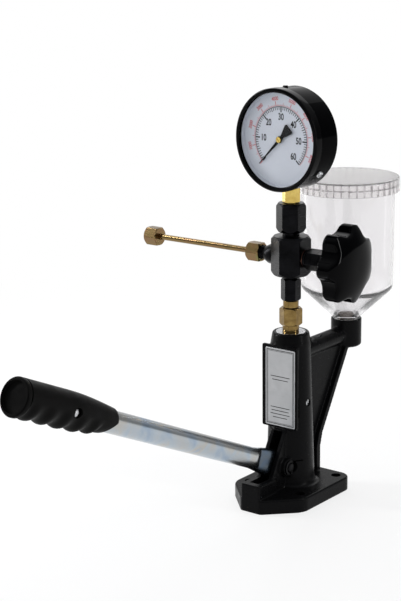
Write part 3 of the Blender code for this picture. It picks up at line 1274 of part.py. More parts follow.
def valve_gland():
    """Hexagonal gland on a copper washer, with a groove inside for the stem's seal."""
    add("gland_washer", sleeve(GLAND_THREAD_RADIUS + GAP, GLAND_COLLAR_RADIUS, GLAND_WASHER_FACE,
                               GLAND_WASHER_FACE + GLAND_WASHER), copper(), TO_RIGHT)
    made = hex_blank("valve_gland", blacked(), GLAND_FLATS, GLAND_FACE + GLAND_COLLAR, GLAND_END,
                     HEX_CHAMFER, TO_RIGHT, GLAND_TURN)
    low = GLAND_FACE - GLAND_THREAD
    middle = (GLAND_FACE + GLAND_END) / 2
    shaft = turned([(0, low), (GLAND_THREAD_RADIUS, low), (GLAND_THREAD_RADIUS, GLAND_FACE),
                    (GLAND_COLLAR_RADIUS, GLAND_FACE), (GLAND_COLLAR_RADIUS, GLAND_FACE + GLAND_COLLAR),
                    (GLAND_THREAD_RADIUS, GLAND_FACE + GLAND_COLLAR + GAP),
                    (GLAND_THREAD_RADIUS, middle), (0, middle)], ROUND)
    join(made, (shaft, TO_RIGHT))
    stem, groove = STEM_RADIUS + GAP, STEM_RADIUS + SEAL_WIDTH + 2 * GAP
    seal_low = GLAND_FACE - GLAND_THREAD / 2
    seal_high = seal_low + SEAL_LENGTH
    bore = turned([(0, low - OVERRUN), (stem, low - OVERRUN), (stem, seal_low - GAP),
                   (groove, seal_low - GAP), (groove, seal_high + GAP), (stem, seal_high + GAP),
                   (stem, GLAND_END + OVERRUN), (0, GLAND_END + OVERRUN)], ROUND)
    cut(made, (bore, TO_RIGHT))
    add("stem_seal", sleeve(STEM_RADIUS + GAP, STEM_RADIUS + GAP + SEAL_WIDTH, seal_low, seal_high, ROUND),
        rubber(), TO_RIGHT)


def stem_and_needle():
    """Threaded stem that turns with the knob, and the needle tip that it pushes onto its seat."""
    tip = PASSAGE + 2 * GAP
    cone_end = tip + NEEDLE_CONE
    shoulder = tip + NEEDLE_LENGTH
    add("needle_tip", turned([(0, tip), (PASSAGE / 2, tip), (NEEDLE_RADIUS, cone_end),
                              (NEEDLE_RADIUS, shoulder), (0, shoulder)], COARSE), bright_steel(), TO_RIGHT)
    stem_low = shoulder + GAP
    stem_end = KNOB_BACK + INSERT_LENGTH
    add("valve_stem", rod(STEM_RADIUS, stem_low, stem_end), bright_steel(), TO_RIGHT)


def knob_ring(height, inset, points_per_lobe=6):
    """Outline of the star knob at one height, drawn in by inset."""
    mean = (KNOB_RADIUS + KNOB_VALLEY) / 2
    swing = (KNOB_RADIUS - KNOB_VALLEY) / 2
    ring = []
    for index in range(KNOB_LOBES * points_per_lobe):
        angle = 2 * math.pi * index / (KNOB_LOBES * points_per_lobe)
        radius = mean + swing * math.cos(KNOB_LOBES * angle) - inset
        turn = KNOB_LOBE_TURN + angle
        ring.append((radius * math.cos(turn), radius * math.sin(turn), height))
    return ring


def star_knob():
    """Moulded knob with round lobes, a slightly domed face and a hub behind."""
    disc_low = KNOB_BACK + KNOB_HUB
    disc_high = disc_low + KNOB_THICKNESS
    rings = []
    for step in range(4):
        angle = math.radians(30 * step)
        inset, rise = KNOB_ROUND * (1 - math.sin(angle)), KNOB_ROUND * (1 - math.cos(angle))
        rings.append(knob_ring(disc_low + rise, inset))
    for step in range(3, -1, -1):
        angle = math.radians(30 * step)
        inset, rise = KNOB_ROUND * (1 - math.sin(angle)), KNOB_ROUND * (1 - math.cos(angle))
        rings.append(knob_ring(disc_high - rise, inset))
    rings.append(knob_ring(disc_high + KNOB_DOME, KNOB_VALLEY / 2))
    made = add("star_knob", loft(rings), black_plastic(), TO_RIGHT)
    hub = rod(KNOB_HUB_RADIUS, KNOB_BACK, disc_low + KNOB_THICKNESS / 2, ROUND)
    join(made, (hub, TO_RIGHT))
    room = rod(INSERT_RADIUS + GAP, KNOB_BACK - OVERRUN, KNOB_BACK + INSERT_LENGTH + 2 * GAP, ROUND)
    cut(made, (room, TO_RIGHT))
    add("knob_insert", sleeve(STEM_RADIUS + GAP, INSERT_RADIUS, KNOB_BACK + GAP, KNOB_BACK + INSERT_LENGTH,
                              ROUND), brass(), TO_RIGHT)


def oil_cup():
    """Clear cup: straight wall, rounded foot, cone down to a threaded neck."""
    throat_z = SOCKET_TOP + GAP
    seam = CUP_SEAM_Z
    outer = [(CUP_NECK_RADIUS, CUP_NECK_LOW), (CUP_NECK_RADIUS, throat_z), (CUP_THROAT_RADIUS, throat_z),
             (CUP_THROAT_RADIUS, throat_z + CUP_ROUND / 2),
             (CUP_FOOT_RADIUS - CUP_ROUND, seam - CUP_ROUND), (CUP_FOOT_RADIUS - CUP_ROUND / 4,
                                                              seam - CUP_ROUND / 4),
             (CUP_FOOT_RADIUS, seam + CUP_ROUND), (CUP_RADIUS, CUP_TOP)]
    bore = CUP_NECK_RADIUS - CUP_NECK_WALL
    inner = [(CUP_RADIUS - CUP_WALL, CUP_TOP), (CUP_FOOT_RADIUS - CUP_WALL, seam + CUP_ROUND),
             (CUP_FOOT_RADIUS - CUP_WALL - CUP_ROUND, seam - CUP_ROUND + CUP_WALL),
             (bore, throat_z + CUP_ROUND + CUP_WALL / 2), (bore, CUP_NECK_LOW)]
    add("oil_cup", turned(outer + inner, FINE), clear_plastic(), AT_CUP)
    seal_low = CUP_NECK_LOW - GAP - CUP_SEAL
    add("cup_seal", sleeve(bore, CUP_NECK_RADIUS, seal_low, seal_low + CUP_SEAL), rubber(), AT_CUP)
    low = CUP_NECK_LOW + GAP
    top = low + STRAINER_HEIGHT
    rim = bore - GAP
    add("feed_strainer", turned([(0, low + STRAINER_FLOOR), (STRAINER_RADIUS, low + STRAINER_FLOOR),
                                 (STRAINER_RADIUS, low), (rim, low), (rim, low + STRAINER_FLOOR),
                                 (STRAINER_RADIUS + STRAINER_FLOOR, low + STRAINER_FLOOR),
                                 (STRAINER_RADIUS + STRAINER_FLOOR, top), (0, top)], ROUND), brass(), AT_CUP)


def ribbed_ring(radius, height):
    """Ring of the lid with a rib and a groove at each step round it."""
    ring = []
    for rib in range(LID_RIBS):
        for offset_share, depth_share in ((0.0, 0.0), (0.55, 0.0), (0.78, 1.0)):
            angle = 2 * math.pi * (rib + offset_share) / LID_RIBS
            reach = radius - depth_share * LID_RIB_DEPTH
            ring.append((reach * math.cos(angle), reach * math.sin(angle), height))
    return ring


def cup_lid():
    """Clear cap that hangs over the cup's rim and rests on it."""
    top = CUP_TOP + GAP + LID_TOP
    low = top - LID_HEIGHT
    made = add("cup_lid", loft([ribbed_ring(LID_RADIUS, low), ribbed_ring(LID_RADIUS, top - LID_EDGE),
                                ribbed_ring(LID_RADIUS - LID_EDGE, top)]), clear_plastic(), AT_CUP)
    room = LID_RADIUS - LID_RIB_DEPTH - LID_WALL
    cut(made, (rod(room, low - OVERRUN, top - LID_TOP, FINE), AT_CUP))


# Turns of pieces whose own frame is laid on its side
NUT_TURN = 0.0
KNOB_LOBE_TURN = math.pi - KNOB_FIRST_LOBE


def build():
    clear_scene()
    body_casting()
    nameplate()
    bleed_screw()
    lever_tube()
    rocker()
    rocker_rivets()
    pivot()
    grip()
    grip_button()
    tappet_and_plunger()
    pump_element()
    valve_holder()
    lower_union()
    valve_block()
    gauge_adapter()
    gauge_socket()
    gauge_case()
    case_details()
    bezel_and_lens()
    dial_and_pointer()
    movement_frame()
    sector_gear()
    bourdon_tube()
    link()
    outlet_stub()
    pipe_and_nuts()
    valve_gland()
    stem_and_needle()
    star_knob()
    oil_cup()
    cup_lid()


build()
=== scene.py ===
# %% [markdown]
# # A hand-pumped diesel injector tester
# A workshop tool: a cast stand with a pump in it, a long lever, a gauge, a clear oil cup, a shut-off
# valve with a star knob and a steel pipe for the injector. The measured solids come from the packed
# model. This lesson dresses them: each piece that shows is made again with finer faces and soft
# edges, and gets the finish of the real material.

import json
import math

import bmesh
import bpy
from mathutils import Matrix, Vector


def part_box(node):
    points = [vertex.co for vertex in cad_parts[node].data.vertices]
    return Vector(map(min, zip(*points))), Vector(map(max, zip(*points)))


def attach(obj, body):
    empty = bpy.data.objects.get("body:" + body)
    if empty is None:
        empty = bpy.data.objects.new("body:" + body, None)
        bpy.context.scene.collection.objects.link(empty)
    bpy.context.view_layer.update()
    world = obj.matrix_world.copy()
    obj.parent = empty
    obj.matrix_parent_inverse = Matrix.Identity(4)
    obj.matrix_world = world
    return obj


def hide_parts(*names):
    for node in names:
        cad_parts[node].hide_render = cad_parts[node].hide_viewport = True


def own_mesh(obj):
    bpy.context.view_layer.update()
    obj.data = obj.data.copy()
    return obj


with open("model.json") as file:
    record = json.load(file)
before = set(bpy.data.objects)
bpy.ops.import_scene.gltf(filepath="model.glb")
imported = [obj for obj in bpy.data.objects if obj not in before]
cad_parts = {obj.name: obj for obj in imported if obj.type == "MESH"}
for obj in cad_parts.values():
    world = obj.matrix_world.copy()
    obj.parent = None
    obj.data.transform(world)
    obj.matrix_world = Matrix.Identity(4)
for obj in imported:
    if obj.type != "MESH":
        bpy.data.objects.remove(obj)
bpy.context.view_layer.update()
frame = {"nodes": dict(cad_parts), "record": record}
JOINTS = {joint["name"]: joint for joint in frame["record"]["behaviour"]["joints"]}

# %% [markdown]
# ## Colours and nodes
# Colours are read off with a colour picker, which gives sRGB values. Blender's shaders work in
# linear light, so one function turns one into the other. A second one adds a shader node, sets it
# and links it, so that each material below reads as a list of its layers. A pattern's scale counts
# its waves in a metre, so it's one over the size of the real grain. One pixel of the picture is
# about 1.2 mm wide here. A finer grain wouldn't show, so some are drawn coarser, as comments say.

# %% Helpers for materials
MM = 0.001


def linear(code, alpha=1.0):
    """Linear colour from an sRGB hex code."""
    parts = [int(code[index:index + 2], 16) / 255 for index in (1, 3, 5)]
    return [(p / 12.92 if p <= 0.04045 else ((p + 0.055) / 1.055) ** 2.4) for p in parts] + [alpha]


def add_node(tree, kind, inputs=(), stops=(), to=None, **settings):
    """Adds a node and links it. An input is a value, an output, or a node for its first output."""
    made = tree.nodes.new("ShaderNode" + kind)
    for name, value in settings.items():
        setattr(made, name, value)
    for socket, value in dict(inputs).items():
        value = value.outputs[0] if isinstance(value, bpy.types.Node) else value
        if isinstance(value, bpy.types.NodeSocket):
            tree.links.new(value, made.inputs[socket])
        else:
            made.inputs[socket].default_value = value
    if stops:                       # a colour ramp's (place, sRGB hex) pairs
        elements = made.color_ramp.elements
        while len(elements) < len(stops):
            elements.new(0.5)
        for element, (position, code) in zip(elements, stops):
            element.position, element.color = position, linear(code)
    if to is not None:
        tree.links.new(made.outputs[0], to)
    return made


def start_material(name, colour, roughness, metallic=0.0, **sockets):
    """Principled material, with its tree, its shader's inputs and its object coordinates."""
    made = bpy.data.materials.new(name)
    made.use_nodes = True
    tree = made.node_tree
    shader = tree.nodes["Principled BSDF"].inputs
    values = {"Base Color": linear(colour), "Roughness": roughness, "Metallic": metallic}
    values.update({socket.replace("_", " "): value for socket, value in sockets.items()})
    for socket, value in values.items():
        shader[socket].default_value = value
    print("finish:", name)
    return made, tree, shader, add_node(tree, "TexCoord").outputs["Object"]


# %% [markdown]
# ## Painted finishes
# The stand is a casting under sprayed black enamel. Paint on a casting isn't flat: it shows the
# sand's texture underneath as a soft unevenness, and the sprayed film adds a finer orange peel. Both
# could be modelled, but they are far lower than a pixel, so two noises tilt the shading instead.

# %% Enamel on the casting
# The orange peel's real waves are about 0.5 mm wide; they're drawn 1.1 mm wide.
PEEL, SAND = 1.11, 7.14
enamel, tree, shader, place = start_material("black_enamel_on_cast_iron", "#0c0c0d", 0.3,
                                             Specular_IOR_Level=0.055)
peel = add_node(tree, "TexNoise", {"Vector": place, "Scale": 1 / (PEEL * MM), "Detail": 2.0})
sand = add_node(tree, "TexNoise", {"Vector": place, "Scale": 1 / (SAND * MM), "Detail": 3.0})
add_node(tree, "MapRange", {"Value": sand, "From Min": 0.3, "From Max": 0.7, "To Min": 0.24,
                            "To Max": 0.36}, to=shader["Roughness"])
coarse = add_node(tree, "Bump", {"Height": sand, "Strength": 0.25, "Distance": 0.4 * MM})
add_node(tree, "Bump", {"Height": peel, "Strength": 0.18, "Distance": 0.1 * MM, "Normal": coarse},
         to=shader["Normal"])

# %% [markdown]
# The gauge's case and bezel are pressed from sheet and stoved in a smoother, glossier coat of the
# same black. The bezel is polished, so it mirrors more. Light falls on the case at a low angle, and a
# low specular level keeps it as black as it is in the photograph.

# %% Enamel on the gauge
FILM = 2.22


def stoved_enamel(name, specular):
    """Gloss black over sheet steel, with a faint orange peel, drawn coarser than its real 0.5 mm."""
    made, tree, shader, place = start_material(name, "#040405", 0.06, Specular_IOR_Level=specular)
    film = add_node(tree, "TexNoise", {"Vector": place, "Scale": 1 / (FILM * MM), "Detail": 2.0})
    add_node(tree, "MapRange", {"Value": film, "From Min": 0.3, "From Max": 0.7, "To Min": 0.04,
                                "To Max": 0.08}, to=shader["Roughness"])
    add_node(tree, "Bump", {"Height": film, "Strength": 0.06, "Distance": 0.1 * MM}, to=shader["Normal"])
    return made


gauge_enamel = stoved_enamel("gloss_black_enamel_on_sheet_steel", 0.012)
bezel_enamel = stoved_enamel("polished_black_enamel_on_bezel", 0.06)

# %% [markdown]
# The dial is sheet metal under white enamel, printed in black and red. The inks are matt, and a fine
# mottle keeps them from looking like holes in the picture.

# %% Dial enamel and printing inks
DIAL_GRAIN, INK_GRAIN = 1.67, 0.333
dial_paint, tree, shader, place = start_material("white_dial_enamel", "#c9cdd6", 0.45)
grain = add_node(tree, "TexNoise", {"Vector": place, "Scale": 1 / (DIAL_GRAIN * MM), "Detail": 2.0})
add_node(tree, "Bump", {"Height": grain, "Strength": 0.05, "Distance": 0.1 * MM}, to=shader["Normal"])


def printing_ink(name, colour, thin, thick, **sockets):
    """Matt ink whose film is a little uneven."""
    made, tree, shader, place = start_material(name, colour, 0.5, **sockets)
    grain = add_node(tree, "TexNoise", {"Vector": place, "Scale": 1 / (INK_GRAIN * MM)})
    add_node(tree, "ValToRGB", {"Fac": grain}, [(0.3, thin), (0.7, thick)], shader["Base Color"])
    return made


black_ink = printing_ink("black_printing_ink", "#08090a", "#060607", "#0c0d0f", Specular_IOR_Level=0.15)
red_ink = printing_ink("red_printing_ink", "#c25a5e", "#b94f54", "#c76568")

# %% [markdown]
# ## Metals
# Turned and milled faces keep the fine lines that the cutter left, which a stretched noise draws: it
# is pulled long one way with a Mapping node, and it tilts the shading and varies the gloss. A second,
# round noise clouds the colour. One function makes them all, because only colour, gloss and the
# lines' direction differ.

# %% A metal with cutter lines
# Real cutter lines lie about 0.1 mm apart, too fine to show. They're drawn 1.1 mm apart or more.
ROUND_Z = (25.0, 25.0, 1.1)         # turned about Z: the lines ring the part
ROUND_X = (1.1, 25.0, 25.0)
ALONG_PIPE = (25.0, 1.5, 1.5)
ALONG_LEVER = (1.6, 140.0, 1.6)
ALONG_PLATE = (17.0, 17.0, 0.8)
LEVER_REST = math.radians(24.2)


def machined(name, stops, roughness, spread, line_size, cloud_size=11.0, depth=0.35, turn=0.0):
    """Metal with clouded colour and cutter lines. line_size is a line's reach in mm on each axis."""
    made, tree, shader, place = start_material(name, stops[0][1], roughness, 1.0)
    cloud = add_node(tree, "TexNoise", {"Vector": place, "Scale": 1 / (cloud_size * MM), "Detail": 4.0,
                                        "Distortion": 0.6})
    add_node(tree, "ValToRGB", {"Fac": cloud}, stops, shader["Base Color"])
    drawn_out = add_node(tree, "Mapping", {"Vector": place, "Rotation": (turn, 0, 0),
                                           "Scale": [reach * MM for reach in line_size]},
                         vector_type="TEXTURE")
    lines = add_node(tree, "TexNoise", {"Vector": drawn_out, "Scale": 1.0, "Detail": 3.0})
    add_node(tree, "MapRange", {"Value": lines, "From Min": 0.3, "From Max": 0.7,
                                "To Min": roughness - spread, "To Max": roughness + spread},
             to=shader["Roughness"])
    add_node(tree, "Bump", {"Height": lines, "Strength": depth, "Distance": 0.04 * MM},
             to=shader["Normal"])
    return made


# %% Black oxide, brasses, bronze, steel and copper
# Black oxide is a thin blue-black skin on steel, so it stays a metal, but a dark one. The holder's
# brass is tarnished by oil. The strainer is fine bronze gauze, which blurs into one dark tone.
OXIDE = [(0.3, "#0e0e0f"), (0.7, "#18181a")]
black_oxide = machined("black_oxide_steel", OXIDE, 0.3, 0.05, ROUND_Z)
black_oxide_cross = machined("black_oxide_steel_cross", OXIDE, 0.3, 0.05, ROUND_X)
brass = machined("machined_brass", [(0.3, "#bfa253"), (0.55, "#d3b968"), (0.75, "#dcc67c")], 0.2, 0.05,
                 ROUND_Z)
dull_brass = machined("tarnished_brass", [(0.3, "#6f5a34"), (0.55, "#826b40"), (0.75, "#947d4c")], 0.22,
                      0.02, ROUND_Z, 7.0, 0.08)
bronze = machined("dark_bronze_gauze", [(0.3, "#2a2019"), (0.7, "#453627")], 0.45, 0.08,
                  (0.6, 0.6, 0.6), 4.0)
steel = machined("machined_steel", [(0.3, "#b5b6b8"), (0.7, "#cfd0d2")], 0.22, 0.06, ROUND_Z)
copper = machined("copper", [(0.3, "#5b3a31"), (0.7, "#7a5a4e")], 0.38, 0.06, ROUND_X)
plate_metal = machined("satin_anodised_aluminium", [(0.3, "#acadaf"), (0.7, "#b8b9bb")], 0.42, 0.05,
                       ALONG_PLATE, 17.0, 0.2)

# %% [markdown]
# Zinc plate is passivated: a yellow bath on the nuts and the pipe, a bluish one on the lever. Both
# leave cloudy tints that shift with the film's thickness. The lever's flattened end, between the
# cheeks, gets painted shade: near the pivot's pin a grey is multiplied into its colour.

# %% Yellow and blue zinc
yellow_zinc = machined("yellow_passivated_zinc", [
    (0.3, "#6b553a"), (0.46, "#84704a"), (0.56, "#836648"), (0.72, "#757348")], 0.18, 0.02, ALONG_PIPE,
    16.0, 0.01)
blue_zinc = machined("blue_passivated_zinc", [
    (0.3, "#94a6ba"), (0.46, "#adb6be"), (0.6, "#b4b3af"), (0.75, "#9aacc2")], 0.22, 0.05, ALONG_LEVER,
    30.0, 0.2, -LEVER_REST)
LEVER_SHADE_FADE_START, LEVER_SHADE_FADE_END = 40, 47       # mm from the pin: where the painted shade starts to fade, and where it ends
tree = blue_zinc.node_tree
base = tree.nodes["Principled BSDF"].inputs["Base Color"]
plated = base.links[0].from_socket
from_pin = add_node(tree, "VectorMath", {0: add_node(tree, "TexCoord").outputs["Object"],
                                         1: JOINTS["lever_pivot"]["pos_m"]}, operation="DISTANCE")
# painted shade on the flattened end: a grey multiplied in near the pin, fading out along the lever
painted_cheek_shade = add_node(tree, "MapRange", {"Value": from_pin.outputs["Value"], "From Min": LEVER_SHADE_FADE_START * MM,
                                       "From Max": LEVER_SHADE_FADE_END * MM, "To Min": 1.0, "To Max": 0.0})
add_node(tree, "MixRGB", {"Fac": painted_cheek_shade, "Color1": plated, "Color2": linear("#8391a1")}, to=base,
         blend_type="MULTIPLY")

# %% [markdown]
# ## Rubber and plastics
# The grip is moulded rubber with a matt grain, polished here and there by hands. The knob is a
# thermoset moulding, polished by its die, so it reflects like black glass, with a slow waviness
# where it shrank.

# %% Rubber and thermoset
# Rubber's real pores are about 0.3 mm wide; they're drawn 0.7 mm wide.
PORES, WEAR, SHRINK = 0.667, 16.7, 18.2
rubber, tree, shader, place = start_material("moulded_black_rubber", "#060606", 0.5,
                                             Specular_IOR_Level=0.05)
grain = add_node(tree, "TexNoise", {"Vector": place, "Scale": 1 / (PORES * MM), "Detail": 3.0})
worn = add_node(tree, "TexNoise", {"Vector": place, "Scale": 1 / (WEAR * MM), "Detail": 3.0})
add_node(tree, "MapRange", {"Value": worn, "From Min": 0.35, "From Max": 0.65, "To Min": 0.38,
                            "To Max": 0.52}, to=shader["Roughness"])
add_node(tree, "ValToRGB", {"Fac": worn}, [(0.35, "#050505"), (0.7, "#080807")], shader["Base Color"])
add_node(tree, "Bump", {"Height": grain, "Strength": 0.3, "Distance": 0.1 * MM}, to=shader["Normal"])

bakelite, tree, shader, place = start_material("polished_black_thermoset", "#020203", 0.08,
                                               Specular_IOR_Level=0.045)
flow = add_node(tree, "TexNoise", {"Vector": place, "Scale": 1 / (SHRINK * MM), "Detail": 2.0})
add_node(tree, "MapRange", {"Value": flow, "From Min": 0.35, "From Max": 0.65, "To Min": 0.05,
                            "To Max": 0.1}, to=shader["Roughness"])
add_node(tree, "Bump", {"Height": flow, "Strength": 0.12, "Distance": 0.5 * MM}, to=shader["Normal"])

# %% [markdown]
# The cup, its lid and the lens are clear. The cup's index is that of the real plastic. The lens is
# thin sheet, and a low index keeps its reflection as faint as it is in the photograph.

# %% Clear plastic and lens sheet
CUP_FLOW, HAZE = 14.3, 11.1
clear, tree, shader, place = start_material("clear_moulded_plastic", "#f6f5f6", 0.06, IOR=1.45,
                                            Transmission_Weight=0.97)
flow = add_node(tree, "TexNoise", {"Vector": place, "Scale": 1 / (CUP_FLOW * MM), "Detail": 2.0})
add_node(tree, "MapRange", {"Value": flow, "From Min": 0.3, "From Max": 0.7, "To Min": 0.03,
                            "To Max": 0.1}, to=shader["Roughness"])

lens_sheet, tree, shader, place = start_material("clear_lens_sheet", "#fafbfc", 0.02, IOR=1.12,
                                                 Transmission_Weight=1.0)
haze = add_node(tree, "TexNoise", {"Vector": place, "Scale": 1 / (HAZE * MM)})
add_node(tree, "MapRange", {"Value": haze, "To Min": 0.0, "To Max": 0.04}, to=shader["Roughness"])

# %% [markdown]
# The lid is the same plastic. Painted shade darkens the grooves of its skirt and its ring line.
# The angle round the cup's axis, times the number of ribs, gives each groove's middle, and the
# height gives the ring line. A cloudy noise breaks both up.

# %% Ribbed plastic for the lid
RIBS, GROOVE_SHARE = 42, 0.075      # the groove's half width is a share of one rib and its groove
LID_RING, LID_SKIRT_TOP, GROOVE_SHADE_BREAKUP = 305.0, 311.5, 2.63
CUP_Y = sum(corner.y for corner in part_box("oil_cup")) / 2
milky, tree, shader, place = start_material("ribbed_moulded_plastic", "#fbf9f9", 0.1, IOR=1.45,
                                            Transmission_Weight=0.86)
from_axis = add_node(tree, "Mapping", {"Vector": place, "Location": (0, -CUP_Y, 0)})
angle = add_node(tree, "TexGradient", {"Vector": from_axis}, gradient_type="RADIAL").outputs["Fac"]
count = add_node(tree, "Math", {0: angle, 1: RIBS}, operation="MULTIPLY")
within = add_node(tree, "Math", {0: count}, operation="FRACT")
groove = add_node(tree, "Math", {0: within, 1: 0.5, 2: GROOVE_SHARE}, operation="COMPARE")
height = add_node(tree, "SeparateXYZ", {"Vector": place}).outputs["Z"]
skirt = add_node(tree, "Math", {0: height, 1: LID_SKIRT_TOP * MM}, operation="LESS_THAN")
ring = add_node(tree, "Math", {0: height, 1: LID_RING * MM, 2: 0.6 * MM}, operation="COMPARE")
either = add_node(tree, "Math", {0: groove, 1: ring}, operation="MAXIMUM")
shade = add_node(tree, "Math", {0: either, 1: skirt}, operation="MULTIPLY")
cloud = add_node(tree, "TexNoise", {"Vector": place, "Scale": 1 / (GROOVE_SHADE_BREAKUP * MM), "Detail": 2.0})
dark = add_node(tree, "Math", {0: shade, 1: cloud}, operation="MULTIPLY")
# painted shade: the grooves and the ring line are darkened, broken up by a cloudy noise
add_node(tree, "ValToRGB", {"Fac": dark}, [(0.3, "#fbf9f9"), (0.65, "#554b4e")], shader["Base Color"])

# %% [markdown]
# ## Finishes for the solids that stay
# Pieces inside the pump and the gauge don't show, or show only through a slot. Their solids are
# right as they are, so they only get the finish that the record's slot names.

# %% Give every solid its finish
SLOT_FINISH = {"black_enamel": enamel, "black_oxide_steel": black_oxide, "brass": brass,
               "yellow_zinc_steel": yellow_zinc, "zinc_plated_steel": blue_zinc, "bright_steel": steel,
               "copper": copper, "black_rubber": rubber, "black_moulded_plastic": bakelite,
               "clear_plastic": clear, "white_paint": dial_paint, "printed_aluminium": plate_metal}
slot_of = {part["node"]: part["material_slot"] for part in frame["record"]["subparts"]}
body_of = {node: body for body, nodes in frame["record"]["behaviour"]["bodies"].items() for node in nodes}
for name, solid in frame["nodes"].items():
    look = SLOT_FINISH[slot_of[name]]
    if solid.data.materials:
        for index in range(len(solid.data.materials)):
            solid.data.materials[index] = look
    else:
        solid.data.materials.append(look)
print("solids with a finish:", len(frame["nodes"]))

# %% [markdown]
# ## Shapes
# Most pieces here are turned on a lathe, so a profile is drawn once and spun round the axis. The
# rest are plates, drawn flat and extruded, and hexagon bars, whose ends are turned to a chamfer.
# Sizes below are in millimetres, as a maker would write them.

# %% Turned and flat shapes
SEGMENTS = 96


def spun(outline, steps=SEGMENTS):
    """Profile of (radius, height) spun about Z. Points on the axis close it."""
    mesh = bmesh.new()
    points = [mesh.verts.new((radius * MM, 0, height * MM)) for radius, height in outline]
    edges = [mesh.edges.new(pair) for pair in zip(points, points[1:] + points[:1])
             if pair[0].co.x > 0 or pair[1].co.x > 0]
    bmesh.ops.spin(mesh, geom=points + edges, cent=(0, 0, 0), axis=(0, 0, 1), angle=2 * math.pi,
                   steps=steps, use_merge=True)
    bmesh.ops.remove_doubles(mesh, verts=mesh.verts, dist=MM / 1000)
    bmesh.ops.recalc_face_normals(mesh, faces=mesh.faces)
    return mesh


def rod(radius, low, high, steps=SEGMENTS):
    return spun([(0, low), (radius, low), (radius, high), (0, high)], steps)


def tube(inner, outer, low, high, steps=SEGMENTS):
    return spun([(inner, low), (outer, low), (outer, high), (inner, high)], steps)


def plate(outline, low, high, rounds=(), edge=0.0):
    """Flat outline drawn up from low to high; rounds gives each corner's radius."""
    mesh = bmesh.new()
    face = mesh.faces.new([mesh.verts.new((x * MM, y * MM, low * MM)) for x, y in outline])
    grown = bmesh.ops.extrude_face_region(mesh, geom=[face])["geom"]
    top = [item for item in grown if isinstance(item, bmesh.types.BMVert)]
    bmesh.ops.translate(mesh, verts=top, vec=(0, 0, (high - low) * MM))
    for (x, y), radius in zip(outline, rounds):
        upright = [edge_ for edge_ in mesh.edges if radius and all(
            (vert.co.xy - Vector((x, y)) * MM).length < MM / 100 for vert in edge_.verts)]
        bmesh.ops.bevel(mesh, geom=upright, offset=radius * MM, offset_type="OFFSET", segments=10,
                        profile=0.5, affect="EDGES", material=-1)
    if edge:
        rim = [edge_ for edge_ in mesh.edges if all(vert.co.z > high * MM - MM / 100 for vert in edge_.verts)]
        bmesh.ops.bevel(mesh, geom=rim, offset=edge * MM, offset_type="OFFSET", segments=4, profile=0.5,
                        affect="EDGES", material=-1)
    bmesh.ops.recalc_face_normals(mesh, faces=mesh.faces)
    return mesh


def side_plate(outline, half, **sizes):
    """Outline of (y, z) drawn out to half on both sides of the middle plane."""
    mesh = plate(outline, -half, half, **sizes)
    bmesh.ops.transform(mesh, matrix=Matrix(((0, 0, 1, 0), (1, 0, 0, 0), (0, 1, 0, 0), (0, 0, 0, 1))),
                        verts=mesh.verts)
    return mesh


def block(low, high):
    (x0, y0, z0), (x1, y1, z1) = low, high
    return plate([(x0, y0), (x1, y0), (x1, y1), (x0, y1)], z0, z1)


# %% Placing, cutting and joining
def placed(mesh, *matrices):
    """The mesh, moved by each matrix in turn."""
    for matrix in matrices:
        bmesh.ops.transform(mesh, matrix=matrix, verts=mesh.verts)
    return mesh


def as_object(name, mesh):
    data = bpy.data.meshes.new(name)
    mesh.to_mesh(data)
    mesh.free()
    made = bpy.data.objects.new(name, data)
    bpy.context.scene.collection.objects.link(made)
    return made


def evaluated(holder, helpers=()):
    """Mesh of an object with its modifiers applied; the object and its helpers are then removed."""
    mesh = bmesh.new()
    mesh.from_object(holder, bpy.context.evaluated_depsgraph_get())
    for item in [holder, *helpers]:
        bpy.data.objects.remove(item, do_unlink=True)
    return mesh


def carved(mesh, tools, operation="DIFFERENCE", solver="EXACT"):
    """Boolean of a mesh with several others."""
    holder = as_object("target", mesh)
    helpers = [as_object("tool", tool) for tool in tools]
    for helper in helpers:
        step = holder.modifiers.new("carve", "BOOLEAN")
        step.operation, step.object, step.solver = operation, helper, solver
    return evaluated(holder, helpers)


def together(meshes):
    """Several meshes in one, without joining their surfaces."""
    whole = bmesh.new()
    for mesh in meshes:
        data = bpy.data.meshes.new("part")
        mesh.to_mesh(data)
        mesh.free()
        whole.from_mesh(data)
        bpy.data.meshes.remove(data)
    return whole


# %% A finished piece
SHARP = math.radians(32)            # a steeper corner is an edge, and a flatter one is a curve


def piece(name, mesh, look, stands_for=(), body="stand", edge=0.0, matrix=None, weighted=True):
    """Finishes a piece: shading, softened edges, finish, body and the solids it replaces."""
    if matrix is not None:
        placed(mesh, matrix)
    stands_for = [stands_for] if isinstance(stands_for, str) else list(stands_for)
    made = as_object(name, mesh)
    made.data.shade_smooth()
    made.data.set_sharp_from_angle(angle=SHARP)
    made.data.materials.append(look)
    if edge:
        soft = made.modifiers.new("soft_edges", "BEVEL")
        soft.width, soft.segments, soft.limit_method, soft.angle_limit = edge * MM, 2, "ANGLE", SHARP
        soft.harden_normals = True
    if weighted:
        flat = made.modifiers.new("flat_faces_stay_flat", "WEIGHTED_NORMAL")
        flat.keep_sharp = True
    body = body_of[stands_for[0]] if stands_for else body
    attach(made, body)
    if stands_for:
        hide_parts(*stands_for)
    print(name, "has", len(made.data.polygons), "faces")
    return made


# %% [markdown]
# ## Places
# Some pieces lie on their side: the valve on the right, the outlet on the left, the gauge, which is
# turned a few degrees, and the lever, which slopes at rest. Each has a matrix that carries it from
# its own upright axes to its place. The lever's turns about its joint, which the record gives.

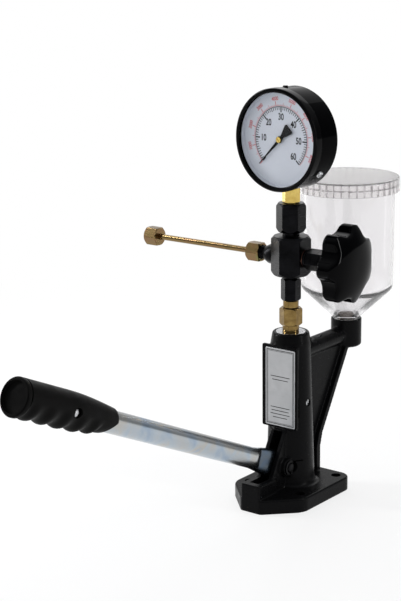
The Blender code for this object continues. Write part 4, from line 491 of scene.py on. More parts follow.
# %% Places on the tool
pipe_low, pipe_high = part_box("injector_pipe")
bezel_low, bezel_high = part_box("bezel")
CROSS_Z = (pipe_low.z + pipe_high.z) / 2
GAUGE_Z = (bezel_low.z + bezel_high.z) / 2
GAUGE_YAW = math.radians(-4.0)
QUARTER = math.pi / 2
TO_RIGHT = Matrix.Translation((0, 0, CROSS_Z)) @ Matrix.Rotation(QUARTER, 4, "Y")
TO_LEFT = Matrix.Translation((0, 0, CROSS_Z)) @ Matrix.Rotation(-QUARTER, 4, "Y")
AT_CUP = Matrix.Translation((0, CUP_Y, 0))
AT_GAUGE = (Matrix.Translation((0, 0, GAUGE_Z)) @ Matrix.Rotation(GAUGE_YAW, 4, "Z")
            @ Matrix.Rotation(QUARTER, 4, "X"))
AT_LEVER = Matrix.Translation(JOINTS["lever_pivot"]["pos_m"]) @ Matrix.Rotation(-LEVER_REST, 4, "X")
PIVOT = Matrix.Translation(JOINTS["lever_pivot"]["pos_m"]) @ Matrix.Rotation(QUARTER, 4, "Y")
ALONG_X = Matrix.Rotation(QUARTER, 4, "Y")
print("cross passage at", round(CROSS_Z / MM, 1), "mm, gauge at", round(GAUGE_Z / MM, 1), "mm")

# %% [markdown]
# ## The cast stand
# One iron casting holds everything: base, stop nose, two cheeks, pump column, nameplate panel, feed
# arm with its web, and the cup's socket. Sharp primitives are laid into each other, and a voxel
# remesh melts them into one skin. A few rounds of smoothing then leave the small fillets that every
# casting has. The holes and bores are drilled after casting, so they're cut last and stay crisp.

# %% Lay out the casting
IN_BASE = 7                         # height inside the base where the forms on it start
ARM_Z, RIM, WEB_HALF = 147, 7, 3.5
PANEL_HALF, PANEL_TOP = 21.2, 159.5
BASE = [(11.5, -69.5), (43, -38), (43, 49), (-43, 49), (-43, -38), (-11.5, -69.5)]
COLUMN = [(0, IN_BASE), (27.7, IN_BASE), (27.7, 14.8), (25.6, 16), (24.7, 18.6), (24.2, 21.5), (20.1, 160),
          (18.4, 169.8), (17.2, 171), (0, 171)]
PANEL = [(-PANEL_HALF, 74.5), (PANEL_HALF, 74.5), (PANEL_HALF, PANEL_TOP), (-PANEL_HALF, PANEL_TOP)]
SOCKET = [(0, 134), (13.9, 134), (15.9, 136), (15.9, 163.3), (0, 163.3)]
web_rear = [(95, 136.3), (46, 54), (42, 40), (42, IN_BASE)]
web_middle = [(y - RIM / 2, z) for y, z in web_rear]
column = carved(spun(COLUMN), [block((-PANEL_HALF, -26, 74.2), (PANEL_HALF, -18.8, PANEL_TOP))])
body_parts = [
    plate(BASE, 0, 14.5, rounds=(3, 7, 12, 12, 7, 3), edge=1.6),
    column,
    side_plate([(0, IN_BASE), (0, 78), (-18, 78), (-45.5, 29), (-45.5, IN_BASE)], 9.4),
    side_plate([(-40, IN_BASE), (-40, 29), (-69.5, 29), (-69.5, IN_BASE)], 11),
    placed(plate(PANEL, 16.3, 20, rounds=(2, 2, 2, 2)), Matrix.Rotation(QUARTER, 4, "X")),
    block((-17.5, -18, 76.5), (17.5, -7.3, 157.5)),
    side_plate([(0, IN_BASE), (0, ARM_Z), (91.5, ARM_Z)] + web_middle, WEB_HALF),
    side_plate(web_rear + [(y - RIM, z) for y, z in reversed(web_rear)], 8.5),
    placed(rod(9, 0, 101.4), Matrix.Rotation(-QUARTER, 4, "X"), Matrix.Translation((0, 0, ARM_Z * MM))),
    placed(rod(9.2, -14.5, 14.5), PIVOT),
    placed(spun(SOCKET), AT_CUP),
]
print("forms laid into each other:", len(body_parts))

# %% Melt it into one skin
VOXEL = 0.85                        # fine enough for the panel's 2 mm corners
holder = as_object("casting", together(body_parts))
remesh = holder.modifiers.new("one_skin", "REMESH")
remesh.mode, remesh.voxel_size = "VOXEL", VOXEL * MM
smooth = holder.modifiers.new("fillets", "SMOOTH")
smooth.factor, smooth.iterations = 0.5, 3
skin = evaluated(holder)
print("casting's skin:", len(skin.faces), "faces")

# %% [markdown]
# The machined cuts follow: the stepped pump bore, the lever's slot, the pin's hole with its spot
# faces, the bleed hole, the cup's thread and the four bolt holes. The pockets behind the panel and
# the short level slot above the pivot are cast in.

# %% Drill and mill the casting
BLEED_Z, SLOT_HALF = 100, 5.2
BORE = [(0, 31.6), (10.3, 31.6), (10.3, 97.7), (12.8, 97.7), (12.8, 159.8), (15.3, 159.8), (15.3, 180),
        (0, 180)]
bore = carved(spun(BORE), [
    block((-SLOT_HALF, -63, 21.3), (SLOT_HALF, 6.8, 50.7)),
    block((-SLOT_HALF, -63, 36.6), (SLOT_HALF, -10.6, 72.5))], "UNION")
cuts = [placed(rod(7.9, low, low + 14.5), PIVOT) for low in (14.5, -29)]
cuts += [placed(rod(3.8, 16, 30, 48), ALONG_X, Matrix.Translation((0, 0, BLEED_Z * MM)))]
cuts += [placed(rod(11.8, 147.5, 170), AT_CUP)]
cuts += [placed(rod(5, -5, 20, 48), Matrix.Translation((x * MM, y * MM, 0)))
         for x in (-31, 31) for y in (-28, 37)]
for side in (-1, 1):
    left, right = sorted((side * 14.5, side * 22))
    cuts += [block((left, -16.3, low), (right, -11.8, low + 20.5)) for low in (86.8, 127.6)]
level_slot = block((15, -18, 41.5), (28, -9, 42.7))
pin_hole = placed(rod(5.3, -30, 30, 48), PIVOT)
skin = carved(skin, [bore, together(cuts), level_slot, pin_hole])
piece("cast_stand", skin, enamel, "body_casting", weighted=False)

# %% [markdown]
# ## Ring, holder and unions
# A bright clamp ring closes the pump. Above it stand the brass valve holder, a brass ring, a black
# union, the black hexagonal block and the gauge's adapter. A hexagon bar with turned ends shows a
# curved edge on each flat, so the bar is cut by a spun cone, as the lathe does it.

# %% A hexagon bar with turned ends
def hex_bar(flats, low, high, chamfer, turn=0.0, soft=0.35):
    """Hexagonal bar with rounded corners; both ends are turned to a chamfer."""
    corners = [(flats / math.sqrt(3) * math.cos(turn + math.radians(30 + 60 * side)),
                flats / math.sqrt(3) * math.sin(turn + math.radians(30 + 60 * side))) for side in range(6)]
    bar = plate(corners, low, high, rounds=[soft] * 6)
    across, land = flats / math.sqrt(3) + 0.5, flats / 2 - 0.3
    slope = chamfer / (flats / math.sqrt(3) - land)
    fall = (across - land) * slope
    mask = spun([(0, low - 1), (land - 1 / slope, low - 1), (across, low + fall), (across, high - fall),
                 (land - 1 / slope, high + 1), (0, high + 1)])
    return carved(bar, [mask], "INTERSECT")


# %% Ring, valve holder and lower union
BORED = 48                          # steps round a bore that is too narrow to show more
OIL_WAY = 1.5                       # radius of the drilled oil passage


def fitting(bar, stem, bore):
    """Hexagon bar with a turned stem, drilled along its axis."""
    return carved(carved(bar, [spun(stem)], "UNION"), [spun(bore, BORED)])


piece("clamp_ring_face", tube(8, 15, 160.1, 171), steel, "clamp_ring", edge=0.35)
holder = fitting(hex_bar(20.1, 177.7, 195.2, 1.6),
                 [(0, 160.1), (7.7, 160.1), (7.7, 171.3), (8.4, 171.3), (8.4, 186), (4.5, 186), (4.5, 211.2),
                  (0, 211.2)],
                 [(0, 156), (5, 156), (5, 175.6), (OIL_WAY, 175.6), (OIL_WAY, 216), (0, 216)])
piece("valve_holder_brass", holder, dull_brass, "valve_holder")
piece("brass_distance_ring", tube(4.8, 7.8, 195.5, 202.5), dull_brass, "brass_ring", edge=0.5)
union = fitting(hex_bar(17.5, 202.8, 224.9, 1.6),
                [(0, 212), (6.6, 212), (6.6, 228.3), (5, 228.3), (5, 237.8), (0, 237.8)],
                [(0, 198), (4.8, 198), (4.8, 211.5), (OIL_WAY, 211.5), (OIL_WAY, 242), (0, 242)])
piece("lower_union_black", union, black_oxide, "lower_union")

# %% Valve block
upright_bore = spun([(0, 224), (5.3, 224), (5.3, 238.1), (OIL_WAY, 238.1), (OIL_WAY, 256.3), (6.3, 256.3),
                     (6.3, 272), (0, 272)], BORED)
valve_bore = spun([(0, -12), (1.2, -12), (1.2, 1.5), (2.5, 3.5), (2.5, 7.3), (7.8, 7.3), (7.8, 23),
                   (0, 23)], BORED)
block_cuts = [upright_bore, placed(valve_bore, TO_RIGHT), placed(rod(5.8, 8.3, 22, BORED), TO_LEFT)]
piece("valve_block_black", carved(hex_bar(34.6, 228.6, 267.6, 3.5, soft=0.5), block_cuts), black_oxide,
      "valve_block")

# %% Gauge adapter and socket
adapter = fitting(hex_bar(25.8, 271.9, 300.5, 3.5, soft=0.45),
                  [(0, 256.6), (6, 256.6), (6, 267.9), (8.5, 267.9), (8.5, 286), (0, 286)],
                  [(0, 252), (OIL_WAY, 252), (OIL_WAY, 286.5), (6.8, 286.5), (6.8, 305), (0, 305)])
piece("gauge_adapter_black", adapter, black_oxide, "gauge_adapter")

stem = spun([(0, 286.8), (6.5, 286.8), (6.5, 328.7), (0, 328.7)], BORED)
socket = carved(hex_bar(15.5, 300.8, 316.2, 0.8), [stem], "UNION")
socket = carved(socket, [rod(OIL_WAY, 282, 327.2, 24)])
piece("gauge_socket_brass", socket, brass, "gauge_socket", matrix=Matrix.Rotation(GAUGE_YAW, 4, "Z"))

# %% [markdown]
# ## Outlet, nuts and pipe
# The block's left port ends in a black cone with a thread. A union nut holds the pipe's formed head
# on it, and a second nut waits at the pipe's far end for the injector.

# %% Outlet and pipe
PITCH_OF_THREAD = 1.15              # drawn as rings; real threads are finer and would blur to grey
STUB = [(0, 8.6), (5.5, 8.6), (5.5, 17.6), (10, 17.6), (10, 23.6), (7.2, 29.3), (6.3, 29.6)]
for turn in range(10):
    STUB += [(6.6, 29.9 + PITCH_OF_THREAD * turn), (6.2, 30.45 + PITCH_OF_THREAD * turn)]
STUB += [(6.4, 41.6), (0, 41.6)]
stub = carved(spun(STUB), [rod(OIL_WAY, 4, 46, 24)])
piece("outlet_stub_black", stub, black_oxide_cross, "outlet_stub", matrix=TO_LEFT)

PIPE = [(0, 41.9), (3, 41.9), (5.5, 44), (5.5, 46.1), (3, 46.1), (3, 169.7), (5.5, 169.7), (5.5, 171.8),
        (3, 173.9), (0, 173.9)]
pipe = carved(spun(PIPE, 48), [rod(OIL_WAY, 38, 178, 24)])
piece("pipe_with_formed_heads", pipe, yellow_zinc, "injector_pipe", matrix=TO_LEFT, edge=0.2)


# %% Union nuts
def union_nut(back, facing):
    """Union nut; facing is 1 when its open end points to the right."""
    nut = hex_bar(18, 0, 15.5, 1.6)
    hollow = spun([(0, -4), (3.3, -4), (3.3, 3.5), (6.9, 3.5), (6.9, 14.2), (7.6, 15.5), (7.6, 19.5),
                   (0, 19.5)])
    place = Matrix.Translation((-back * MM, 0, CROSS_Z)) @ Matrix.Rotation(facing * QUARTER, 4, "Y")
    return placed(carved(nut, [hollow]), place)


piece("near_union_nut", union_nut(49.9, 1), yellow_zinc, "near_nut")
piece("far_union_nut", union_nut(165.9, -1), yellow_zinc, "far_nut")

# %% [markdown]
# ## Shut-off valve
# On the right a hexagonal gland sits on a copper washer, and the stem comes out of it to the knob.

# %% Gland and washer
piece("gland_copper_washer", tube(7.8, 8.8, 17.6, 18.6), copper, "gland_washer", matrix=TO_RIGHT, edge=0.2)
gland = fitting(hex_bar(19, 20.9, 47.4, 1.6, math.radians(15)),
                [(0, 7.6), (7.5, 7.6), (7.5, 18.9), (9.2, 18.9), (9.2, 20.9), (7.8, 21.2), (7.8, 33),
                 (0, 33)],
                [(0, 3), (4.3, 3), (4.3, 13), (6.2, 13), (6.2, 16), (4.3, 16), (4.3, 52), (0, 52)])
piece("valve_gland_black", gland, black_oxide_cross, "valve_gland", matrix=TO_RIGHT)

# %% [markdown]
# The star knob is one moulding: a domed disc with seven flutes for the fingers. It's turned first,
# and then each point outside the hub is drawn in to the flutes' wavy limit. A soft minimum of the
# two radii rounds the corner where the dome runs into a flute.

# %% Star knob
LOBES, LOBE_TURN = 7, math.radians(168)
KNOB_BACK, KNOB_DISC, KNOB_EDGE, DOME = 49.4, 54.9, 69.5, 9.4   # heights along the stem
HUB, FLUTED, LOBE, ROUND = 11.5, 20, 40, 3                      # radii
CREST, FLUTE_DEPTH, SOFTNESS = 42.2, 10.2, 18
profile = [(0, KNOB_BACK), (HUB, KNOB_BACK), (HUB, KNOB_DISC)]
profile += [(FLUTED + 2 * step, KNOB_DISC) for step in range(9)]
for step in range(7):
    turned = math.radians(15 * step)
    profile.append((LOBE - ROUND + ROUND * math.sin(turned), KNOB_DISC + ROUND - ROUND * math.cos(turned)))
profile += [(LOBE, KNOB_DISC + ROUND + (KNOB_EDGE - KNOB_DISC - ROUND) * step / 5) for step in range(1, 5)]
profile += [(LOBE - step, KNOB_EDGE + DOME * (1 - ((LOBE - step) / LOBE) ** 2.6)) for step in range(LOBE + 1)]
knob = spun(profile, 24 * LOBES)
for vert in knob.verts:
    radius = vert.co.xy.length / MM
    if radius > FLUTED:
        flute = 1 - abs(math.cos(LOBES / 2 * (math.atan2(vert.co.y, vert.co.x) - LOBE_TURN))) ** 3.2
        limit = CREST - FLUTE_DEPTH * flute
        reach = (radius ** -SOFTNESS + limit ** -SOFTNESS) ** (-1 / SOFTNESS)
        vert.co.x, vert.co.y = vert.co.x * reach / radius, vert.co.y * reach / radius
knob = carved(knob, [rod(7.3, 44, 68, BORED)])
piece("star_knob_moulding", knob, bakelite, "star_knob", matrix=TO_RIGHT, weighted=False)

# %% [markdown]
# ## Gauge
# The case is a deep pressed cup with a bezel over its lip. Behind the lens lies a white dial with a
# raised rim. All are turned shapes, so each is a profile spun round the gauge's axis.

# %% Case, bezel and lens
CASE = [(0, -10.4), (46, -10.4), (48.6, -9.6), (49.5, -7.6), (49.5, 15.8), (47.9, 15.8), (47.9, 20.2),
        (46.3, 20.2), (46.3, -8.8), (0, -8.8)]
FINE = 128                          # steps round the gauge, whose edge is seen large and close
socket_hole = placed(rod(9.25, -20, 14, BORED), Matrix.Rotation(QUARTER, 4, "X"),
                     Matrix.Translation((0, -50 * MM, 0)))
case = carved(spun(CASE, FINE), [socket_hole])
piece("gauge_case_pressing", case, gauge_enamel, "gauge_case", matrix=AT_GAUGE, edge=0.4)
BEZEL = [(48.2, 16.1), (50, 16.1), (50, 23.4), (49.4, 24.6), (48.4, 25.1), (46.8, 25.1), (45.9, 24.6),
         (45.5, 23.6), (45.5, 22.8), (48.2, 22.8)]
piece("bezel_ring", spun(BEZEL, FINE), bezel_enamel, "bezel", matrix=AT_GAUGE, edge=0.25)
piece("gauge_lens", rod(47.9, 20.5, 22.5, FINE), lens_sheet, "lens", matrix=AT_GAUGE, edge=0.2)
DIAL = [(1.5, 14.7), (46, 14.7), (46, 20.2), (45.4, 20.2), (45.2, 15.5), (1.5, 15.5)]
piece("dial_plate", spun(DIAL, FINE), dial_paint, "dial", matrix=AT_GAUGE, edge=0.1)

# %% [markdown]
# The dial's ticks, arcs and figures are printed. Here the print is thin raised faces, which stay
# sharp at any size. One tick is drawn at the zero and spun with its copies along the scale.

# %% Ticks and arcs of the dial
INK_LOW, INK_HIGH = 15.5, 15.54
FULL = 60.0                     # the inner scale's last figure
SWEEP = math.radians(270)
ZERO = math.radians(225)
OUTER_STEP = 1000 / 8702.3      # the outer scale's thousand, as a share of the sweep


def ticks(count, inner, outer, width, angle=SWEEP):
    """Radial marks from the zero, clockwise; the first is drawn and spun with its copies."""
    mark = block((-width / 2, inner, INK_LOW), (width / 2, outer, INK_HIGH))
    placed(mark, Matrix.Rotation(ZERO - QUARTER, 4, "Z"))
    bmesh.ops.spin(mark, geom=mark.verts[:] + mark.edges[:] + mark.faces[:], cent=(0, 0, 0), axis=(0, 0, 1),
                   angle=-angle, steps=count, use_duplicate=True)
    return mark


def arc(radius, width, angle=SWEEP):
    """Thin arc round the scale."""
    mesh = bmesh.new()
    loop = [mesh.verts.new((r * MM, 0, z * MM)) for r, z in (
        (radius - width / 2, INK_LOW), (radius + width / 2, INK_LOW), (radius + width / 2, INK_HIGH),
        (radius - width / 2, INK_HIGH))]
    face = mesh.faces.new(loop)
    placed(mesh, Matrix.Rotation(ZERO, 4, "Z"))
    bmesh.ops.spin(mesh, geom=[face], cent=(0, 0, 0), axis=(0, 0, 1), angle=-angle, steps=120)
    bmesh.ops.recalc_face_normals(mesh, faces=mesh.faces)
    return mesh


def printed(name, marks, ink):
    """One layer of print on the dial."""
    piece(name, together(marks), ink, matrix=AT_GAUGE, weighted=False)


red_sweep = SWEEP * OUTER_STEP * 8
printed("dial_inner_scale", [ticks(60, 28.3, 31.4, 0.75), ticks(12, 27.5, 31.4, 0.8),
                             ticks(6, 26.2, 31.4, 1.3), arc(31.5, 0.6)], black_ink)
printed("dial_outer_scale", [ticks(80, 32.6, 33.8, 0.3, red_sweep), ticks(16, 32.6, 35.2, 0.45, red_sweep),
                             ticks(8, 32.6, 36.8, 0.8, red_sweep), arc(32.5, 0.4)], red_ink)

# %% Figures of the dial
BOLD = 0.026                        # how far strokes are thickened, as a share of the figure's size


def figures(words, size, matrix, narrow=0.82):
    """Printed figures: text made a mesh, thickened and put in place."""
    text = bpy.data.curves.new("figures", "FONT")
    text.body, text.size, text.align_x, text.align_y = words, size * MM, "CENTER", "CENTER"
    text.extrude, text.resolution_u = (INK_HIGH - INK_LOW) / 2 * MM, 6
    text.offset = BOLD * size * MM
    holder = bpy.data.objects.new("figures", text)
    bpy.context.scene.collection.objects.link(holder)
    bpy.context.view_layer.update()
    data = holder.to_mesh()
    mesh = bmesh.new()
    mesh.from_mesh(data)
    holder.to_mesh_clear()
    bpy.data.objects.remove(holder, do_unlink=True)
    bmesh.ops.remove_doubles(mesh, verts=mesh.verts, dist=MM / 10000)
    lift = Matrix.Translation((0, 0, (INK_LOW + INK_HIGH) / 2 * MM))
    return placed(mesh, Matrix.Diagonal((narrow, 1, 1, 1)), matrix, lift)


def at_angle(angle, radius):
    return Matrix.Translation((radius * MM * math.cos(angle), radius * MM * math.sin(angle), 0))


black_figures, red_figures = [], []
for value in range(0, 61, 10):
    angle = ZERO - SWEEP * value / FULL
    size, radius = (9.0, 21.6) if value else (3.4, 29.5)
    black_figures.append(figures(str(value), size, at_angle(angle, radius), 0.76))
for thousand in range(1, 9):
    angle = ZERO - SWEEP * OUTER_STEP * thousand
    red_figures.append(figures(str(1000 * thousand), 5.0,
                               at_angle(angle, 39.2) @ Matrix.Rotation(angle - QUARTER, 4, "Z")))
printed("dial_inner_figures", black_figures, black_ink)
printed("dial_outer_figures", red_figures, red_ink)

# %% [markdown]
# The pointer is a thin blade with a broad tail, riveted to a boss on the pinion's shaft under a small
# brass cap. It rides on its own body, so it swings over the scale with the pinion.

# %% Pointer
TURNED_TO_ZERO = AT_GAUGE @ Matrix.Rotation(ZERO - QUARTER, 4, "Z")
BLADE = [(-5.7, -15.4), (-4.6, -16.9), (4.6, -16.9), (5.7, -15.4), (1.8, -4), (1.5, 2), (0.3, 36), (-0.3, 36),
         (-1.5, 2), (-1.8, -4)]
blade = plate(BLADE, 17.5, 18)
boss = carved(rod(3.4, 17.75, 19.1), [rod(1.5, 12, 19, 24)])
pointer = carved(carved(blade, [boss], "UNION"), [rod(1.5, 12, 19, 24)])
piece("gauge_pointer", pointer, black_ink, "pointer", matrix=TURNED_TO_ZERO, edge=0.08)
cap = carved(spun([(0, 19.1), (2.9, 19.1), (2.9, 19.8), (2.5, 20.1), (0, 20.2)], 48),
             [block((-3, -0.45, 19.6), (3, 0.45, 21))])
piece("pointer_cap", cap, brass, body="pointer", matrix=TURNED_TO_ZERO)

# %% [markdown]
# Two pan-head screws and a rubber vent plug sit in the case's side wall. All are turned shapes put on
# a radius of the gauge. The screw heads are steel, with a cross cut in.

# %% Screws and vent plug of the gauge
def radial_place(angle, forward):
    return (AT_GAUGE @ Matrix.Translation((0, 0, forward * MM)) @ Matrix.Rotation(angle, 4, "Z")
            @ Matrix.Rotation(QUARTER, 4, "Y"))


for number, angle in enumerate((math.radians(-37.5), math.radians(221)), 1):
    head = spun([(0, 44.5), (1.5, 44.5), (1.5, 49.8), (3.6, 49.8), (3.6, 51), (3.2, 51.9), (2, 52.4),
                 (0, 52.4)], 32)
    cross = [block((-2.2, -0.4, 51.4), (2.2, 0.4, 54)), block((-0.4, -2.2, 51.4), (0.4, 2.2, 54))]
    piece(f"case_screw_pan_head_{number}", carved(head, cross), steel, f"case_screw_{number}",
          matrix=radial_place(angle, 7.2))
plug = spun([(0, 46.3), (1.8, 46.3), (1.8, 49.8), (2.6, 49.8), (2.6, 50.6), (2.2, 51), (0, 51)], 32)
piece("vent_plug_rubber", plug, rubber, "vent_plug", matrix=radial_place(QUARTER, 9))

# %% [markdown]
# ## Oil cup and lid
# The cup is a thick clear moulding: straight wall, rounded foot, cone and threaded neck. It shows its
# inner surface too, so its profile runs up the outside and down the inside. A bronze gauze strainer
# stands in the neck.

# %% Cup and strainer
CUP = [(11.5, 149.6), (11.5, 163.6), (14.5, 163.6), (14.5, 165.4), (43.6, 192.9), (45.6, 194.8),
       (46.8, 196.6), (47.4, 198.4), (47.7, 200.5), (48.2, 310.1), (45.7, 310.1), (45.2, 200.8),
       (44.8, 199.4), (43.9, 198), (41.7, 196), (9.5, 168.4), (9.5, 149.6)]
piece("oil_cup_clear", spun(CUP, 256), clear, "oil_cup", matrix=AT_CUP)

STRAINER = [(0, 150.8), (6.8, 150.8), (6.8, 161), (9, 163.5), (9, 167.4), (8.6, 167.8), (0, 167.9)]
piece("feed_strainer_gauze", spun(STRAINER, 64), bronze, "feed_strainer", matrix=AT_CUP)

# %% [markdown]
# The lid hangs over the rim, and the ribs round its skirt give the fingers a hold. It's a turned cap
# with a ring line, and the points at each rib's groove are pushed in, as the knob's flutes are.

# %% Lid
SKIRT, GROOVE_DEPTH, GROOVE_HALF = 52, 1.5, 0.12     # the groove's half width is a share of one rib
LID = [(0, 312.9), (51.2, 312.9), (52.1, 312.5), (52.7, 311.4), (52.7, LID_RING + 0.6),
       (52.2, LID_RING + 0.2), (52.2, LID_RING - 0.2), (52.7, LID_RING - 0.6), (52.7, 298.2),
       (49.3, 298.2), (49.3, 310.4), (0, 310.4)]
lid = spun(LID, RIBS * 14)
for vert in lid.verts:
    radius = vert.co.xy.length
    if radius > SKIRT * MM:
        rib = (math.atan2(vert.co.y, vert.co.x) / (2 * math.pi) * RIBS) % 1.0
        depth = GROOVE_DEPTH * MM * max(0.0, 1 - abs(rib - 0.5) / GROOVE_HALF)
        vert.co.x, vert.co.y = vert.co.x * (1 - depth / radius), vert.co.y * (1 - depth / radius)
piece("oil_cup_lid", lid, milky, "cup_lid", matrix=AT_CUP)

# %% [markdown]
# ## Lever and grip
# The lever is a steel tube, pressed flat where it enters the cheeks. A chain of rings is bridged
# along it: round for most of its length, then an upright oval with nearly flat sides. Bridging is
# the right tool, because every ring can have a size and a squareness of its own.

# %% Rings for the lever
def ease(share):
    share = min(1.0, max(0.0, share))
    return share * share * (3 - 2 * share)


def bridged(rings, points=64):
    """Rings joined in order and capped: (along, half width, half height, squareness, shape, lean)."""
    mesh = bmesh.new()
    loops = []
    for along, half_width, half_height, squareness, shape, *lean in rings:
        made = bmesh.ops.create_circle(mesh, segments=points, radius=1.0)["verts"]
        for vert in made:
            c, s = vert.co.x, vert.co.y
            reach = shape(c, s) if shape else 0.0
            vert.co = Vector(((half_width - reach) * MM * math.copysign(abs(c) ** (2 / squareness), c),
                              -(along + sum(lean) * max(0.0, -s)) * MM,
                              (half_height - reach) * MM * math.copysign(abs(s) ** (2 / squareness), s)))
        loops.append(list({edge_ for vert in made for edge_ in vert.link_edges}))
        if len(loops) > 1:
            bmesh.ops.bridge_loops(mesh, edges=loops[-2] + loops[-1])
    for loop in (loops[0], loops[-1]):
        bmesh.ops.contextual_create(mesh, geom=loop)
    bmesh.ops.recalc_face_normals(mesh, faces=mesh.faces)
    return mesh


# %% Lever
LEVER_END, WALL = 395, 2
FLAT_END, ROUND_AFTER = 39.5, 14    # mm from the pin: where the tube starts to round, over how much
FLAT_HALF, FLAT_HALF_HEIGHT = 4.5, 13.5


def lever_rings(offset, start, end, squareness):
    """The tube's rings, drawn in by offset for its inner wall."""
    rings = []
    stations = [start, 10, 20] + [FLAT_END - 12 + 2 * step for step in range(20)] + [end]
    for along in stations:
        rounding = ease((along - FLAT_END) / ROUND_AFTER)
        height_share = ease((along - 19.75) / 33.75)
        rings.append((along, FLAT_HALF + 6 * rounding - offset, FLAT_HALF_HEIGHT - 3 * height_share - offset,
                      squareness + (2 - squareness) * rounding, None))
    return rings


lever = bridged(lever_rings(0, -8, LEVER_END, 4))
hollow = bridged(lever_rings(WALL, -12, LEVER_END + 4, 6))
END = [(-4, 17.5), (-4, FLAT_HALF_HEIGHT)]
for step in range(25):
    turned = math.radians(7.5 * step)
    END.append((8 * math.sin(turned), FLAT_HALF_HEIGHT * math.cos(turned)))
END += [(-4, -FLAT_HALF_HEIGHT), (-4, -17.5), (16, -17.5), (16, 17.5)]
lever_cuts = [hollow, side_plate(END, 9), placed(rod(7.3, -12, 12, 64), ALONG_X)]
lever_cuts += [placed(rod(1.8, -12, 12, 32), ALONG_X, Matrix.Translation((0, -15.5 * MM, side * 4.5 * MM)))
               for side in (-1, 1)]
piece("lever_tube_plated", carved(lever, lever_cuts), blue_zinc, "lever_tube", matrix=AT_LEVER)

# %% [markdown]
# The rubber grip is pulled over the tube's end. Five finger bumps run along its underside, its mouth
# is cut off at a slant, and a flange ends it. It's a chain of bridged rings too: a squared sine dips
# the lower half of each ring between the bumps, and a lean moves the ring's lower side.

# %% Grip
GRIP_START, GRIP_END, GRIP_HALF, FLANGE = 278.5, 403.5, 17.2, 6.0
SLIM, SLANT = 0.92, 13              # width as a share of height; the mouth's slant in mm
BUMP, DIP = 20.5, 3.2               # a bump's length and the depth between two


def grip_ring(along):
    """One ring of the grip, with its swell, its dip between two bumps and its lean."""
    share = (along - GRIP_START) / (GRIP_END - GRIP_START)
    half = GRIP_HALF * (0.72 + 0.28 * math.sin(min(1.0, share / 0.5) * QUARTER))
    phase = (GRIP_END - FLANGE - BUMP / 2 - along) / BUMP
    dip = DIP * (math.sin(math.pi * phase) ** 2 if -0.5 <= phase <= 4.5 else 1.0)
    dip *= ease(share * 4) * ease((1 - share) * 12)
    lean = SLANT * (1 - ease((along - GRIP_START) / 32))
    return (along, SLIM * half, half, 2, lambda c, s: dip * max(0.0, -s) ** 0.7, lean)


flange_at = GRIP_END - FLANGE
rings = [(GRIP_START - back, SLIM * half, half, 2, None, SLANT) for back, half in ((1.2, 11.2), (0.6, 12.0))]
rings += [grip_ring(GRIP_START + (flange_at - GRIP_START) * step / 80) for step in range(81)]
for along, trim in ((0.5, 0.9), (0.7, 1.8), (1.1, 1.8), (1.2, 0.6), (1.6, 0.1), (2.2, 0), (4.4, 0),
                    (5.4, 0.5), (6, 1.6)):
    rings.append((flange_at + along, SLIM * GRIP_HALF - trim, GRIP_HALF - trim, 2, None))
tube_room = bridged([(along, 10.8, 10.8, 2, None) for along in (270, LEVER_END + 0.3)])
end_dish = bridged([(along, width, height, 2, None) for along, width, height in (
    (401.2, 13.2, 13.6), (401.8, 13.7, 14.1), (410, 14.1, 14.6))])
cross_hole = placed(rod(4.8, -40, 40, BORED), ALONG_X, Matrix.Translation((0, -338 * MM, 0)))
piece("grip_rubber", carved(bridged(rings), [tube_room, end_dish, cross_hole]), rubber, "grip",
      matrix=AT_LEVER)

# %% [markdown]
# ## Springs in the pump
# Two wire springs work inside the stand: one below the barrel returns the plunger, and a small one
# holds the delivery valve shut. A ring of wire is spun round with a rise at every step.

# %% Springs
def wire_spring(name, node, wire, turns):
    """Coil of round wire between the heights of its solid."""
    low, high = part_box(node)
    length = high.z - low.z
    steps = 24 * turns
    mesh = bmesh.new()
    bmesh.ops.create_circle(mesh, segments=12, radius=wire / 2 * MM)
    placed(mesh, Matrix.Rotation(QUARTER, 4, "X"),
           Matrix.Translation((high.x - wire / 2 * MM, 0, low.z + wire / 2 * MM)))
    bmesh.ops.spin(mesh, geom=mesh.edges[:], cent=(0, 0, 0), axis=(0, 0, 1), angle=2 * math.pi * turns,
                   dvec=(0, 0, (length - wire * MM) / steps), steps=steps)
    bmesh.ops.holes_fill(mesh, edges=[edge for edge in mesh.edges if edge.is_boundary])
    bmesh.ops.recalc_face_normals(mesh, faces=mesh.faces)
    made = piece(name, mesh, steel, node, weighted=False)
    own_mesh(made)
    print(name, "is", round(length / MM, 1), "mm long at rest")


wire_spring("plunger_return_spring", "return_spring", 2.2, 7)
wire_spring("delivery_valve_spring", "delivery_spring", 0.8, 6)

# %% [markdown]
# ## Pivot, bleed screw and plate
# The pin carries the lever through both cheeks, with chamfered ends and a split spring clip at each.
# The bleed screw sits deep in the column's side, with a slot across its face.

# %% Pivot and bleed screw
pin = spun([(0, -17), (3.6, -17), (4.4, -16.7), (5, -15.8), (5, 15.8), (4.4, 16.7), (3.6, 17), (0, 17)], 64)
piece("pivot_pin_oiled", pin, black_oxide_cross, "pivot_pin", matrix=PIVOT)
for side, word in ((1, "right"), (-1, "left")):
    low, high = sorted((side * 14.8, side * 15.8))
    clip = carved(tube(5.3, 7.5, low, high, 64), [block((4, -1.2, low - 1), (9, 1.2, high + 1))])
    piece(f"pivot_clip_{word}_split", clip, black_oxide_cross, f"pivot_clip_{word}", matrix=PIVOT, edge=0.15)

bleed_low, bleed_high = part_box("bleed_screw")
screw_end = bleed_high.x / MM
screw = carved(rod(3.4, bleed_low.x / MM, screw_end, 48),
               [block((-4, -0.6, screw_end - 1.25), (4, 0.6, screw_end + 2))])
piece("bleed_screw_slotted", screw, steel, "bleed_screw", edge=0.25,
      matrix=Matrix.Translation((0, 0, BLEED_Z * MM)) @ ALONG_X)

